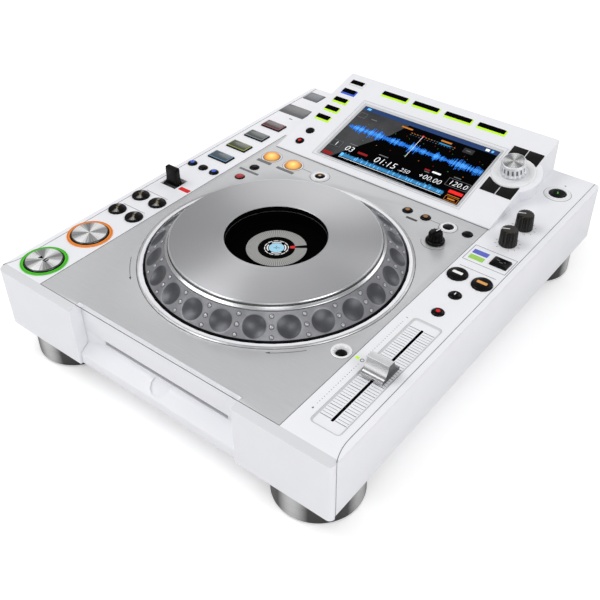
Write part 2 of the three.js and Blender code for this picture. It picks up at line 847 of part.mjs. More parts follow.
const LEVER_X = -HALF_W + LEVER_INSET;
const LEVER_Y = alongBody(LEVER_Y_SHARE);
const SLIDER_X = HALF_W - SLIDER_INSET;
const SLIDER_Y = alongBody(SLIDER_Y_SHARE);
const resetPlace = onPlate(RESET_SHARES);
const TOP_KNOB_X = HALF_W - TOP_KNOB_INSET;
const knobs = [
  { name: "touch_knob", x: TOP_KNOB_X, y: alongBody(TOP_KNOB_REAR_Y_SHARE), make: makeTopKnob },
  { name: "release_knob", x: TOP_KNOB_X, y: alongBody(TOP_KNOB_FRONT_Y_SHARE), make: makeTopKnob },
  { name: "weight_knob", ...onPlate(WEIGHT_SHARES), make: makeWeightKnob },
];
const FOOT_NAMES = ["front_left", "front_right", "rear_left", "rear_right"];

// Outer casing

function bodyShape(inset) {
  const front = Math.max(FRONT_CORNER_R - inset, 0);
  const rear = Math.max(REAR_CORNER_R - inset, 0);
  const radii = [front, front, rear, rear];
  return roundedShape(-HALF_W + inset, HALF_W - inset, FRONT + inset, REAR - inset, radii);
}

// The plate's outline: a notch for the front recess and a tongue beside the display housing
function plateShape(grow) {
  const left = -PLATE_LEFT - grow;
  const right = PLATE_RIGHT + grow;
  const front = fromFront(PLATE_FRONT) - grow;
  const rear = fromFront(PLATE_REAR) + grow;
  const notchLeft = -RECESS_LEFT - RIM_SET + grow;
  const notchRight = RECESS_RIGHT + RIM_SET - grow;
  const notchRear = fromFront(RECESS_DEPTH + RIM_SET) - grow;
  return polygon([
    [left, front],
    [notchLeft, front],
    [notchLeft, notchRear],
    [notchRight, notchRear],
    [notchRight, front],
    [right, front],
    [right, rear],
    [-PLATE_LEFT + TONGUE_W + grow, rear],
    [-PLATE_LEFT + TONGUE_W + grow, fromFront(TONGUE_REAR) + grow],
    [left, fromFront(TONGUE_REAR) + grow],
  ]);
}

// Large, middling and small rounds get fewer sides in turn
function sidesFor(r) {
  if (r > SYNC_R) return WIDE_SIDES;
  return r > SMALL_R + GAP ? MID_SIDES : SMALL_SIDES;
}


const collared = roundButtons.filter(({ collar }) => collar);

// Every hole through the deck that its round controls and square keys need
function controlHoles() {
  const low = DECK - WALL - OVERRUN;
  const high = DECK + OVERRUN;
  const holes = roundButtons.map(({ x, y, r }) => disc(x, fromFront(y), r + GAP, low, high, sidesFor(r)));
  for (const strip of buttonStrips) {
    for (const x of stripXs(strip)) {
      holes.push(disc(x, fromFront(strip.y), strip.r + GAP, low, high, sidesFor(strip.r)));
    }
  }
  for (const { x, y, width, depth } of squareKeys) {
    holes.push(centredBox(x, fromFront(y), width + 2 * GAP, depth + 2 * GAP, low, high));
  }
  for (const { x, y } of knobs) {
    holes.push(disc(x, fromFront(y), SHAFT_R + GAP, low, high, SMALL_SIDES));
  }
  return holes;
}

function leverSlot() {
  const half = LEVER_W / 2 + GAP;
  return box(
    LEVER_X - half,
    LEVER_X + half,
    fromFront(LEVER_Y - LEVER_SLOT_HALF),
    fromFront(LEVER_Y + LEVER_SLOT_HALF),
    DECK - WALL - OVERRUN,
    DECK + OVERRUN,
  );
}

// Two lugs under the deck hold the ends of the lever's pin
function leverLugs() {
  const pivot = DECK - LEVER_PIVOT_DROP;
  return [-1, 1].map((side) => {
    const inner = LEVER_X + side * (LEVER_W / 2 + GAP);
    const outer = inner + side * LEVER_PIN_REACH;
    const [x0, x1] = [Math.min(inner, outer), Math.max(inner, outer)];
    const half = LEVER_PIN_R + LUG_T;
    const y = fromFront(LEVER_Y);
    const lug = box(x0, x1, y - half, y + half, pivot - half, DECK - WALL / 2);
    const bore = rodX(x0 - OVERRUN, x1 + OVERRUN, y, pivot, LEVER_PIN_R + GAP, SMALL_SIDES);
    return cut(lug, bore);
  });
}

function sliderCuts() {
  const slotLength = SLIDER_STROKE + STEM_L + 2 * GAP;
  const tray = roundedShape(
    SLIDER_X - SLIDER_TRAY_LEFT,
    SLIDER_X + SLIDER_TRAY_RIGHT,
    fromFront(SLIDER_Y - SLIDER_TRAY_HALF),
    fromFront(SLIDER_Y + SLIDER_TRAY_HALF),
    [SLIDER_TRAY_R, SLIDER_TRAY_R, SLIDER_TRAY_R, SLIDER_TRAY_R],
  );
  return [
    slab(tray, DECK - SLIDER_TRAY_DEPTH, DECK + OVERRUN),
    centredBox(
      SLIDER_X,
      fromFront(SLIDER_Y),
      SLIDER_SLOT_W,
      slotLength,
      DECK - WALL - OVERRUN,
      DECK + OVERRUN,
    ),
  ];
}

// The front wall with the casing's round front corners
function frontWall() {
  const whole = slab(bodyShape(0), FOOT_HEIGHT, DECK - WALL / 2);
  const face = box(-HALF_W, HALF_W, FRONT, FRONT + WALL, FOOT_HEIGHT, DECK);
  const corners = bothSides((side) =>
    spanX(side * (HALF_W - WALL), side * HALF_W, FRONT, FRONT + FRONT_CORNER_R, FOOT_HEIGHT, DECK),
  );
  return common(whole, join(face, ...corners));
}

function recessCheeks() {
  const rear = fromFront(POCKET_SET + WALL + GAP);
  return [
    box(-RECESS_LEFT - WALL, -RECESS_LEFT, FRONT, rear, FOOT_HEIGHT, DECK - WALL / 2),
    box(RECESS_RIGHT, RECESS_RIGHT + WALL, FRONT, rear, FOOT_HEIGHT, DECK - WALL / 2),
  ];
}

function recessNotch() {
  const radii = [0, 0, RECESS_R, RECESS_R];
  const shape = roundedShape(-RECESS_LEFT, RECESS_RIGHT, FRONT - OVERRUN, fromFront(RECESS_DEPTH), radii);
  return slab(shape, FOOT_HEIGHT - OVERRUN, DECK + OVERRUN);
}

// The long shallow bevel along the front edge of the deck
function frontBevel() {
  const slope = TOP_BEVEL_DROP / TOP_BEVEL_RUN;
  const section = [
    [FRONT - OVERRUN, DECK - TOP_BEVEL_DROP - OVERRUN * slope],
    [FRONT + TOP_BEVEL_RUN, DECK],
    [FRONT + TOP_BEVEL_RUN, DECK + OVERRUN],
    [FRONT - OVERRUN, DECK + OVERRUN],
  ];
  return across(section, -HALF_W - OVERRUN, HALF_W + OVERRUN);
}

// The side and rear walls of the case meet the deck in a rabbet
function rimRabbet() {
  const low = DECK - WALL - OVERRUN;
  const high = DECK - SEAM_DROP;
  const rear = FRONT + FRONT_CORNER_R;
  const around = box(-HALF_W - OVERRUN, HALF_W + OVERRUN, rear, REAR + OVERRUN, low, high);
  return cut(around, slab(bodyShape(WALL + GAP), low, high));
}

// Walled sockets below the deck take the memory card and the memory stick
function sockets() {
  return flaps.map(({ x, y, slotW, slotD }) =>
    centredBox(
      x,
      fromFront(y),
      slotW + 2 * SOCKET_WALL,
      slotD + 2 * SOCKET_WALL,
      DECK - FLAP_T - SOCKET_DEPTH,
      DECK - WALL / 2,
    ),
  );
}

function flapCuts() {
  return flaps.flatMap(({ x, y, width, depth, slotW, slotD }) => [
    centredBox(
      x,
      fromFront(y),
      width + 2 * GAP,
      depth + 2 * GAP,
      DECK + FLAP_PROUD - FLAP_T - GAP,
      DECK + OVERRUN,
    ),
    centredBox(x, fromFront(y), slotW, slotD, DECK - FLAP_T - SOCKET_DEPTH - OVERRUN, DECK),
  ]);
}

function displayOpening() {
  return box(
    -HOUSING_LEFT + OPENING_MARGIN,
    HOUSING_RIGHT - OPENING_MARGIN,
    fromFront(OPENING_FRONT),
    REAR - OPENING_MARGIN,
    DECK - WALL - OVERRUN,
    DECK + OVERRUN,
  );
}

function makeTopCover() {
  const jogY = fromFront(JOG_Y);
  const islands = collared.map(({ x, y, collar }) =>
    disc(x, fromFront(y), collar, DECK - WALL, DECK + 2 * OVERRUN, WIDE_SIDES),
  );
  const jogIsland = disc(JOG_X, jogY, COLLAR_OUT_R, DECK - WALL, DECK + 2 * OVERRUN, RIM_SIDES);
  const platePocket = cut(slab(plateShape(GAP), DECK - PLATE_T, DECK + OVERRUN), jogIsland, ...islands);
  const raised = [
    ...collared
      .filter(({ sunk }) => !sunk)
      .map(({ x, y, collar }) =>
        cone(x, fromFront(y), collar, collar - COLLAR_RISE, DECK - WALL / 2, DECK + COLLAR_RISE, WIDE_SIDES),
      ),
    ...roundButtons
      .filter(({ halo }) => halo)
      .map(({ x, y, halo }) => disc(x, fromFront(y), halo, DECK - WALL / 2, DECK + HALO_LIFT, WIDE_SIDES)),
    disc(JOG_X, jogY, COLLAR_OUT_R, DECK - WALL, DECK + COLLAR_LIFT, RIM_SIDES),
  ];
  const resetCone = cone(
    resetPlace.x,
    fromFront(resetPlace.y),
    RESET_R + GAP,
    RESET_CONE_R - GAP,
    DECK - RESET_SINK,
    DECK,
    MID_SIDES,
  );
  const shell = join(slab(bodyShape(0), DECK - WALL, DECK), frontWall(), ...recessCheeks());
  const shaped = cut(shell, platePocket, recessNotch(), frontBevel(), rimRabbet());
  const fitted = join(shaped, ...raised, ...sockets(), ...leverLugs());
  return cut(
    fitted,
    disc(JOG_X, jogY, COLLAR_R, DECK - WALL - OVERRUN, DECK + OVERRUN, RIM_SIDES),
    displayOpening(),
    resetCone,
    ...sliderCuts(),
    ...controlHoles(),
    leverSlot(),
    ...flapCuts(),
  );
}

function makeDeckPlate() {
  const low = DECK - PLATE_T;
  const plate = slab(plateShape(0), low, DECK);
  const islandHoles = collared.map(({ x, y, collar }) =>
    disc(x, fromFront(y), collar + GAP, low - OVERRUN, DECK + OVERRUN, WIDE_SIDES),
  );
  const jogHole = disc(JOG_X, fromFront(JOG_Y), COLLAR_OUT_R + GAP, low - OVERRUN, DECK + OVERRUN, RIM_SIDES);
  const plateHoles = controlHoles().filter((hole) => {
    hole.computeBoundingBox();
    return hole.boundingBox.max.x < PLATE_RIGHT && hole.boundingBox.min.x > -PLATE_LEFT;
  });
  return cut(plate, jogHole, ...islandHoles, ...plateHoles);
}

// Lower case with its walls, foot seats, posts and the opening for the rear panel

function postPlaces() {
  const left = -HALF_W + POST_INSET;
  const right = HALF_W - POST_INSET;
  return [
    [left, alongBody(POST_FRONT_Y_SHARE)],
    [left, alongBody(POST_SEARCH_Y_SHARE)],
    [left, alongBody(POST_FLAP_Y_SHARE)],
    [right, alongBody(POST_TEMPO_Y_SHARE)],
    [right, alongBody(POST_SYNC_Y_SHARE)],
    [right, alongBody(POST_REAR_Y_SHARE)],
  ];
}

function boardPostPlaces() {
  const front = BOARD_FRONT + POST_INSET;
  const rear = BOARD_REAR - POST_INSET;
  return [
    [-MAIN_LEFT + POST_INSET, front],
    [MAIN_RIGHT - POST_INSET, front],
    [-MAIN_LEFT + POST_INSET, rear],
    [MAIN_RIGHT - POST_INSET, rear],
    [SUPPLY_LEFT + POST_INSET, front],
    [SUPPLY_RIGHT - POST_INSET, front],
    [SUPPLY_LEFT + POST_INSET, rear],
    [SUPPLY_RIGHT - POST_INSET, rear],
  ];
}

function drivePostPlaces() {
  const half = DRIVE_W / 2 - POST_INSET;
  return [DRIVE_FRONT + POST_INSET, DRIVE_FRONT + DRIVE_DEPTH - POST_INSET].flatMap((y) => [
    [JOG_X - half, y],
    [JOG_X + half, y],
  ]);
}

function makeBottomCase() {
  const top = DECK - SEAM_DROP - GAP;
  const hollow = slab(bodyShape(WALL), FOOT_HEIGHT + WALL, top + OVERRUN);
  const shell = cut(slab(bodyShape(0), FOOT_HEIGHT, top), hollow);
  const frontRoom = box(
    -HALF_W - OVERRUN,
    HALF_W + OVERRUN,
    FRONT - OVERRUN,
    FRONT + FRONT_CORNER_R + GAP,
    FOOT_HEIGHT - OVERRUN,
    top + OVERRUN,
  );
  const bezelRoom = box(
    -RECESS_LEFT - WALL - GAP,
    RECESS_RIGHT + WALL + GAP,
    FRONT - OVERRUN,
    fromFront(LIP_SET + WALL + GAP),
    FOOT_HEIGHT - OVERRUN,
    FOOT_HEIGHT + WALL + OVERRUN,
  );
  const cheekRoom = [
    [-RECESS_LEFT - WALL - GAP, -RECESS_LEFT + GAP],
    [RECESS_RIGHT - GAP, RECESS_RIGHT + WALL + GAP],
  ].map(([x0, x1]) =>
    box(
      x0,
      x1,
      FRONT - OVERRUN,
      fromFront(POCKET_SET + WALL + 2 * GAP),
      FOOT_HEIGHT - OVERRUN,
      FOOT_HEIGHT + WALL,
    ),
  );
  const sideBevels = bothSides((side) =>
    lengthwise(
      [
        [side * HALF_W, FOOT_HEIGHT + SIDE_BEVEL],
        [side * (HALF_W - SIDE_BEVEL - OVERRUN), FOOT_HEIGHT - OVERRUN],
        [side * (HALF_W + OVERRUN), FOOT_HEIGHT - OVERRUN],
        [side * (HALF_W + OVERRUN), FOOT_HEIGHT + SIDE_BEVEL],
      ],
      FRONT - OVERRUN,
      REAR + OVERRUN,
    ),
  );
  const rearBevel = across(
    [
      [REAR - REAR_BEVEL_RUN, FOOT_HEIGHT],
      [REAR + OVERRUN, FOOT_HEIGHT + REAR_BEVEL_RISE * (1 + OVERRUN / REAR_BEVEL_RUN)],
      [REAR + OVERRUN, FOOT_HEIGHT - OVERRUN],
      [REAR - REAR_BEVEL_RUN, FOOT_HEIGHT - OVERRUN],
    ],
    -HALF_W - OVERRUN,
    HALF_W + OVERRUN,
  );
  const panelOpening = box(
    -HALF_W + PANEL_SIDE,
    HALF_W - PANEL_SIDE,
    REAR - WALL - OVERRUN,
    REAR + OVERRUN,
    FOOT_HEIGHT + PANEL_LOW_Z,
    FOOT_HEIGHT + PANEL_HIGH_Z,
  );
  const footBolts = footPlaces().map(([x, y]) =>
    disc(x, y, FOOT_BOLT_R + GAP, FOOT_HEIGHT - OVERRUN, FOOT_HEIGHT + WALL + OVERRUN, SMALL_SIDES),
  );
  const posts = [
    ...postPlaces().map(([x, y]) => [x, y, DECK - WALL - GAP]),
    ...boardPostPlaces().map(([x, y]) => [x, y, FOOT_HEIGHT + BOARD_LIFT]),
    ...drivePostPlaces().map(([x, y]) => [x, y, FOOT_HEIGHT + DRIVE_LOW - GAP]),
  ].map(([x, y, high]) => disc(x, fromFront(y), PIN_POST_R, FOOT_HEIGHT + WALL / 2, high, SMALL_SIDES));
  const panelLedge = box(
    -HALF_W + PANEL_SIDE - PANEL_LAP,
    HALF_W - PANEL_SIDE + PANEL_LAP,
    REAR - 2 * WALL - PANEL_T - GAP,
    REAR - WALL - PANEL_T - GAP,
    FOOT_HEIGHT + WALL / 2,
    FOOT_HEIGHT + PANEL_LOW_Z - PANEL_LAP,
  );
  return cut(
    join(shell, ...posts, panelLedge),
    frontRoom,
    bezelRoom,
    ...cheekRoom,
    ...sideBevels,
    rearBevel,
    panelOpening,
    ...footBolts,
  );
}

function makeRearPanel() {
  const y0 = REAR - WALL - PANEL_T - GAP / 2;
  const y1 = REAR - WALL - GAP / 2;
  const plate = box(
    -HALF_W + PANEL_SIDE - PANEL_LAP,
    HALF_W - PANEL_SIDE + PANEL_LAP,
    y0,
    y1,
    FOOT_HEIGHT + PANEL_LOW_Z - PANEL_LAP + GAP,
    FOOT_HEIGHT + PANEL_HIGH_Z + PANEL_LAP,
  );
  const holes = [
    ...jackXs().map((x) => rodY(x, y0 - OVERRUN, y1 + OVERRUN, FOOT_HEIGHT + JACK_Z, JACK_COLLAR_R + GAP)),
    ...panelBlocks().map(([x, width, low, high]) =>
      blockAt([x, width + 2 * GAP, low - GAP, high + GAP], y0 - OVERRUN, y1 + OVERRUN),
    ),
  ];
  return cut(plate, ...holes);
}

const jackXs = () => Array.from({ length: JACK_COUNT }, (_, i) => JACK_X + i * JACK_PITCH);

const boardTop = () => FOOT_HEIGHT + BOARD_LIFT + BOARD_T;

// Middles, widths and heights of the parts that stand in the panel's square holes
function panelBlocks() {
  const low = boardTop() - BOARD_T / 2;
  return [
    [NET_X, NET_W, low, boardTop() + NET_H],
    [HOST_X, HOST_W, low, boardTop() + HOST_H],
    [INLET_X, INLET_W, low, boardTop() + INLET_H],
    [SWITCH_X, SWITCH_W + 2 * SWITCH_FRAME, low, boardTop() + SWITCH_H + SWITCH_FRAME],
  ];
}

function blockAt([x, width, low, high], y0, y1) {
  return box(x - width / 2, x + width / 2, y0, y1, low, high);
}

// Feet

function footPlaces() {
  const x = HALF_W - FOOT_INSET_X;
  return [
    [-x, fromFront(FOOT_INSET_Y)],
    [x, fromFront(FOOT_INSET_Y)],
    [-x, REAR - FOOT_INSET_Y],
    [x, REAR - FOOT_INSET_Y],
  ];
}

// A metal sleeve over a rubber pad, with a bolt up into the case
function footForm() {
  return turned(
    [
      [0, 0],
      [FOOT_PAD_R, 0],
      [FOOT_PAD_R, FOOT_PAD_T],
      [FOOT_R - FOOT_EDGE, FOOT_PAD_T],
      [FOOT_R, FOOT_PAD_T + FOOT_EDGE],
      [FOOT_R, FOOT_HEIGHT - FOOT_EDGE],
      [FOOT_R - FOOT_EDGE, FOOT_HEIGHT],
      [FOOT_BOLT_R, FOOT_HEIGHT],
      [FOOT_BOLT_R, FOOT_HEIGHT + FOOT_BOLT_H],
      [0, FOOT_HEIGHT + FOOT_BOLT_H],
    ],
    WIDE_SIDES,
  );
}

// Front bezel: a leaning panel over the slot, a pocket round it and a slope down to the lip

function makeFrontBezel() {
  const low = FOOT_HEIGHT + GAP;
  const z = (height) => FOOT_HEIGHT + height;
  const section = [
    [fromFront(RECESS_DEPTH), DECK - WALL - GAP],
    [fromFront(RECESS_DEPTH), z(PANEL_LOW)],
    [fromFront(POCKET_SET), z(POCKET_HIGH)],
    [fromFront(POCKET_SET), z(POCKET_LOW)],
    [fromFront(SLOPE_SET), z(SLOPE_HEIGHT)],
    [fromFront(LIP_SET), z(LIP_HEIGHT)],
    [fromFront(LIP_SET), low],
    [fromFront(LIP_SET + WALL), low],
    [fromFront(LIP_SET + WALL), z(LIP_HEIGHT - WALL / 2)],
    [fromFront(SLOPE_SET + WALL), z(SLOPE_HEIGHT - WALL / 2)],
    [fromFront(POCKET_SET + WALL), z(POCKET_LOW - WALL / 2)],
    [fromFront(POCKET_SET + WALL), z(POCKET_HIGH + WALL / 2)],
    [fromFront(RECESS_DEPTH + WALL), z(PANEL_LOW + WALL / 2)],
    [fromFront(RECESS_DEPTH + WALL), DECK - WALL - GAP],
  ];
  const skin = across(section, -RECESS_LEFT + GAP, RECESS_RIGHT - GAP);
  const cheek = (edge, middle) =>
    slab(
      polygon([
        [edge, fromFront(RECESS_DEPTH)],
        [middle, fromFront(POCKET_SET) + GAP],
        [edge, fromFront(POCKET_SET) + GAP],
      ]),
      z(SLOPE_HEIGHT),
      z(PANEL_LOW),
    );
  const slot = box(
    -SLOT_HALF,
    SLOT_HALF,
    FRONT,
    fromFront(POCKET_SET + WALL + OVERRUN),
    z(SLOT_LOW),
    z(SLOT_HIGH),
  );
  const slope = Math.atan2(SLOPE_HEIGHT - LIP_HEIGHT, SLOPE_SET - LIP_SET);
  const thumb = new THREE.CylinderGeometry(NOTCH_R, NOTCH_R, 2 * NOTCH_DEPTH, MID_SIDES)
    .rotateX(Math.PI / 2 + slope)
    .translate(0, fromFront(SLOPE_SET), z(SLOPE_HEIGHT));
  return cut(
    join(skin, cheek(-RECESS_LEFT + GAP, -POCKET_LEFT), cheek(RECESS_RIGHT - GAP, POCKET_RIGHT)),
    slot,
    common(thumb, box(-HALF_W, HALF_W, FRONT, fromFront(POCKET_SET), z(0), z(SLOT_LOW))),
  );
}

// Jog wheel, drawn about its own axis from the deck's height

function dimpleTool() {
  const ball = (DIMPLE_R ** 2 + DIMPLE_DEPTH ** 2) / (2 * DIMPLE_DEPTH);
  const lift = 2 * DIMPLE_DEPTH;
  const reach = Math.asin(DIMPLE_R / ball);
  const arc = Array.from({ length: DIMPLE_RINGS + 1 }, (_, i) => {
    const angle = (reach * i) / DIMPLE_RINGS;
    return [ball * Math.sin(angle), ball - DIMPLE_DEPTH - ball * Math.cos(angle)];
  });
  return turned([...arc, [DIMPLE_R, lift], [0, lift]], DIMPLE_SIDES);
}

function makeJogRing() {
  const slopeLow = GAP;
  const body = turned(
    [
      [BOSS_R + GAP, -SLEEVE_LOW],
      [SLEEVE_R, -SLEEVE_LOW],
      [SLEEVE_R, WELL_FLOOR - JOG_WEB - JOG_WEB / 2],
      [WELL_R + JOG_WEB, WELL_FLOOR - JOG_WEB - JOG_WEB / 2],
      [WELL_R + JOG_WEB, SLOPE_TOP - 2 * JOG_WEB],
      [JOG_TOP_R - 2 * JOG_WEB, SLOPE_TOP - 2 * JOG_WEB],
      [JOG_R - JOG_WEB, -JOG_SKIRT_LOW],
      [JOG_R, -JOG_SKIRT_LOW],
      [JOG_R, slopeLow],
      [SLOPE_TOP_R, SLOPE_TOP],
      [WELL_R, SLOPE_TOP],
      [WELL_R, WELL_FLOOR],
      [BOSS_R + GAP, WELL_FLOOR],
    ],
    RIM_SIDES,
  );
  const lean = Math.atan2(SLOPE_TOP - slopeLow, JOG_R - SLOPE_TOP_R);
  const share = (DIMPLE_RING_R - SLOPE_TOP_R) / (JOG_R - SLOPE_TOP_R);
  const height = SLOPE_TOP + share * (slopeLow - SLOPE_TOP);
  const tools = Array.from({ length: DIMPLES }, (_, i) =>
    dimpleTool()
      .rotateY(lean)
      .translate(DIMPLE_RING_R, 0, height)
      .rotateZ((2 * Math.PI * i) / DIMPLES),
  );
  return cut(body, ...tools);
}

function makeJogPlate() {
  return turned(
    [
      [WELL_R, SLOPE_TOP + GAP],
      [JOG_PLATE_R, SLOPE_TOP + GAP],
      [JOG_PLATE_R, SLOPE_TOP + GAP + (JOG_TOP - SLOPE_TOP) * BEVEL_SHARE],
      [JOG_TOP_R, JOG_TOP],
      [WELL_R + PLATE_EDGE, JOG_TOP],
      [WELL_R, JOG_TOP - PLATE_EDGE],
    ],
    RIM_SIDES,
  );
}

// A pan that hangs under the deck with a hollow boss that the jog wheel turns on
function makeJogBearing() {
  const rimOuter = COLLAR_OUT_R + BEARING_RIM_W;
  return turned(
    [
      [BOSS_R - BOSS_WALL, -BEARING_LOW - BEARING_T],
      [rimOuter, -BEARING_LOW - BEARING_T],
      [rimOuter, -WALL - GAP],
      [rimOuter - BEARING_T, -WALL - GAP],
      [rimOuter - BEARING_T, -BEARING_LOW],
      [BOSS_R + BOSS_WALL, -BEARING_LOW],
      [BOSS_R + BOSS_WALL, -SLEEVE_LOW - GAP],
      [BOSS_R, -SLEEVE_LOW - GAP],
      [BOSS_R, WELL_FLOOR],
      [BOSS_R - BOSS_WALL, WELL_FLOOR],
    ],
    WIDE_SIDES,
  );
}

// The round display in the middle stands still on a stalk in the boss
function makeHubDisplay() {
  const stalkR = BOSS_R - BOSS_WALL - GAP;
  const low = HUB_TOP - HUB_T;
  return turned(
    [
      [0, low - HUB_STALK],
      [stalkR, low - HUB_STALK],
      [stalkR, low],
      [HUB_R, low],
      [HUB_R, HUB_TOP - PLATE_EDGE],
      [HUB_R - PLATE_EDGE, HUB_TOP],
      [0, HUB_TOP],
    ],
    WIDE_SIDES,
  );
}

// Disc drive: a sheet-metal case whose bay is open to the front slot

function makeDiscDrive() {
  const z = (height) => FOOT_HEIGHT + height;
  const x0 = JOG_X - DRIVE_W / 2;
  const x1 = JOG_X + DRIVE_W / 2;
  const y0 = fromFront(DRIVE_FRONT);
  const casing = box(x0, x1, y0, y0 + DRIVE_DEPTH, z(DRIVE_LOW), z(DRIVE_TOP));
  const bayX = [JOG_X - BAY_W / 2, JOG_X + BAY_W / 2];
  const bay = box(...bayX, y0 - OVERRUN, y0 + BAY_DEPTH, z(SLOT_LOW), z(SLOT_HIGH));
  const well = disc(
    JOG_X,
    y0 + BAY_DEPTH / 2,
    SPINDLE_R + DRIVE_WALL,
    z(SLOT_LOW - SPINDLE_T - SPINDLE_CONE_H - 2 * GAP),
    z(SLOT_HIGH),
    MID_SIDES,
  );
  const lightening = box(
    x0 + DRIVE_WALL,
    x1 - DRIVE_WALL,
    y0 + DRIVE_WALL,
    y0 + DRIVE_DEPTH - DRIVE_WALL,
    z(SLOT_HIGH + DRIVE_WALL),
    z(DRIVE_TOP + OVERRUN),
  );
  return cut(casing, bay, well, lightening);
}

// The spindle that turns the disc, drawn about its axis from its seat
function makeDriveSpindle() {
  return turned([
    [0, 0],
    [SPINDLE_R, 0],
    [SPINDLE_R, SPINDLE_T],
    [SPINDLE_CONE_R, SPINDLE_T],
    [SPINDLE_CONE_R - PLATE_EDGE, SPINDLE_T + SPINDLE_CONE_H],
    [0, SPINDLE_T + SPINDLE_CONE_H],
  ]);
}

// Main board with its chips and the sockets that reach through the rear panel

function makeMainBoard() {
  const low = FOOT_HEIGHT + BOARD_LIFT + GAP;
  const top = boardTop();
  const rear = fromFront(BOARD_REAR);
  const board = box(-MAIN_LEFT, MAIN_RIGHT, fromFront(BOARD_FRONT), rear, low, top);
  const chips = CHIP_SHARES.map(([across, along]) => {
    const x = -MAIN_LEFT + across * (MAIN_LEFT + MAIN_RIGHT);
    const y = BOARD_FRONT + along * (BOARD_REAR - BOARD_FRONT);
    return centredBox(x, fromFront(y), CHIP_W, CHIP_W, low, top + CHIP_H);
  });
  const jackBlock = box(
    JACK_X - JACK_COLLAR_R,
    JACK_X + (JACK_COUNT - 1) * JACK_PITCH + JACK_COLLAR_R,
    rear - PORT_L,
    rear - GAP,
    low,
    FOOT_HEIGHT + JACK_Z + JACK_COLLAR_R,
  );
  const barrels = jackXs().flatMap((x) => [
    rodY(x, rear - PORT_L, REAR - WALL + PANEL_T, FOOT_HEIGHT + JACK_Z, JACK_COLLAR_R),
    rodY(x, rear - PORT_L, REAR + JACK_REACH, FOOT_HEIGHT + JACK_Z, JACK_R),
  ]);
  const boreEnd = REAR + JACK_REACH + OVERRUN;
  const bores = jackXs().map((x) => rodY(x, rear, boreEnd, FOOT_HEIGHT + JACK_Z, JACK_BORE_R));
  const [net, host] = panelBlocks();
  const blocks = [net, host].map((block) => blockAt(block, rear - PORT_L, REAR - PANEL_T));
  const holes = [
    [NET_X, NET_H, NET_HOLE_W, NET_HOLE_H],
    [HOST_X, HOST_H, HOST_HOLE_W, HOST_HOLE_H],
  ].map(([x, h, w, d]) =>
    box(
      x - w / 2,
      x + w / 2,
      REAR - PANEL_T - PORT_HOLE_DEPTH,
      REAR + OVERRUN,
      top + (h - d) / 2,
      top + (h + d) / 2,
    ),
  );
  return cut(join(board, ...chips, jackBlock, ...barrels, ...blocks), ...bores, ...holes);
}

// Power supply board with its transformer, the mains inlet and the frame of the power switch

function makePowerSupply() {
  const low = FOOT_HEIGHT + BOARD_LIFT + GAP;
  const top = boardTop();
  const rear = fromFront(BOARD_REAR);
  const board = box(SUPPLY_LEFT, SUPPLY_RIGHT, fromFront(BOARD_FRONT), rear, low, top);
  const coreX = (SUPPLY_LEFT + SUPPLY_RIGHT) / 2;
  const core = centredBox(coreX, fromFront(alongBody(CORE_Y_SHARE)), CORE_W, CORE_D, low, top + CORE_H);
  const inletRear = REAR - PANEL_T;
  const [, , inletBlock, switchBlock] = panelBlocks();
  const inlet = blockAt(inletBlock, inletRear - INLET_L, inletRear);
  const middle = top + INLET_H / 2;
  const hollow = box(
    INLET_X - INLET_HOLE_W / 2,
    INLET_X + INLET_HOLE_W / 2,
    inletRear - INLET_DEPTH,
    inletRear + OVERRUN,
    middle - INLET_HOLE_H / 2,
    middle + INLET_HOLE_H / 2,
  );
  const pins = [
    [-INLET_PIN_X, -INLET_PIN_DROP],
    [INLET_PIN_X, -INLET_PIN_DROP],
    [0, INLET_EARTH_RISE - INLET_PIN_DROP],
  ].map(([dx, dz]) =>
    box(
      INLET_X + dx - INLET_PIN_W / 2,
      INLET_X + dx + INLET_PIN_W / 2,
      inletRear - INLET_DEPTH - WALL,
      inletRear - PANEL_T,
      middle + dz - INLET_PIN_H / 2,
      middle + dz + INLET_PIN_H / 2,
    ),
  );
  const frameY0 = REAR - WALL - PANEL_T - SWITCH_T;
  const frame = blockAt(switchBlock, frameY0 - SWITCH_T, REAR - PANEL_T);
  const frameRoom = box(
    SWITCH_X - SWITCH_W / 2 - GAP,
    SWITCH_X + SWITCH_W / 2 + GAP,
    frameY0 - SWITCH_T + WALL,
    REAR + OVERRUN,
    top + GAP,
    top + SWITCH_H - GAP,
  );
  return cut(join(board, core, cut(inlet, hollow), ...pins, frame), frameRoom);
}

// The rocker of the power switch, drawn about its pivot and leaning the way it rests
function makePowerSwitch() {
  const half = SWITCH_H / 2 - 2 * GAP;
  const section = [
    [-SWITCH_T, -half * SWITCH_FOOT_SHARE],
    [SWITCH_FACE, -half * SWITCH_FACE_SHARE],
    [SWITCH_FACE - SWITCH_DISH, 0],
    [SWITCH_FACE, half * SWITCH_FACE_SHARE],
    [-SWITCH_T, half * SWITCH_FOOT_SHARE],
  ];
  return across(section, -SWITCH_W / 2 + GAP, SWITCH_W / 2 - GAP).rotateX(-SWITCH_LEAN);
}

// Display housing: a wedge with a tilted face, open below, and a bulge under the selector

function housingWedge(inset, lowZ) {
  const y0 = fromFront(HOUSING_FRONT) + inset;
  const y1 = REAR - inset;
  const slope = HOUSING_RISE / HOUSING_DEPTH;
  const drop = inset > 0 ? HOUSING_WALL / Math.cos(TILT) : 0;
  const height = (y) => DECK + HOUSING_LIP + slope * (y - fromFront(HOUSING_FRONT)) - drop;
  const section = [
    [y0, lowZ],
    [y1, lowZ],
    [y1, height(y1)],
    [y0, Math.max(height(y0), lowZ)],
  ].filter(([y, z], i) => i !== 3 || z > lowZ);
  return across(section, -HOUSING_LEFT + inset, HOUSING_RIGHT - inset);
}

function keyRow(x, u, count, pitch) {
  return Array.from({ length: count }, (_, i) => [x + i * pitch, u]);
}

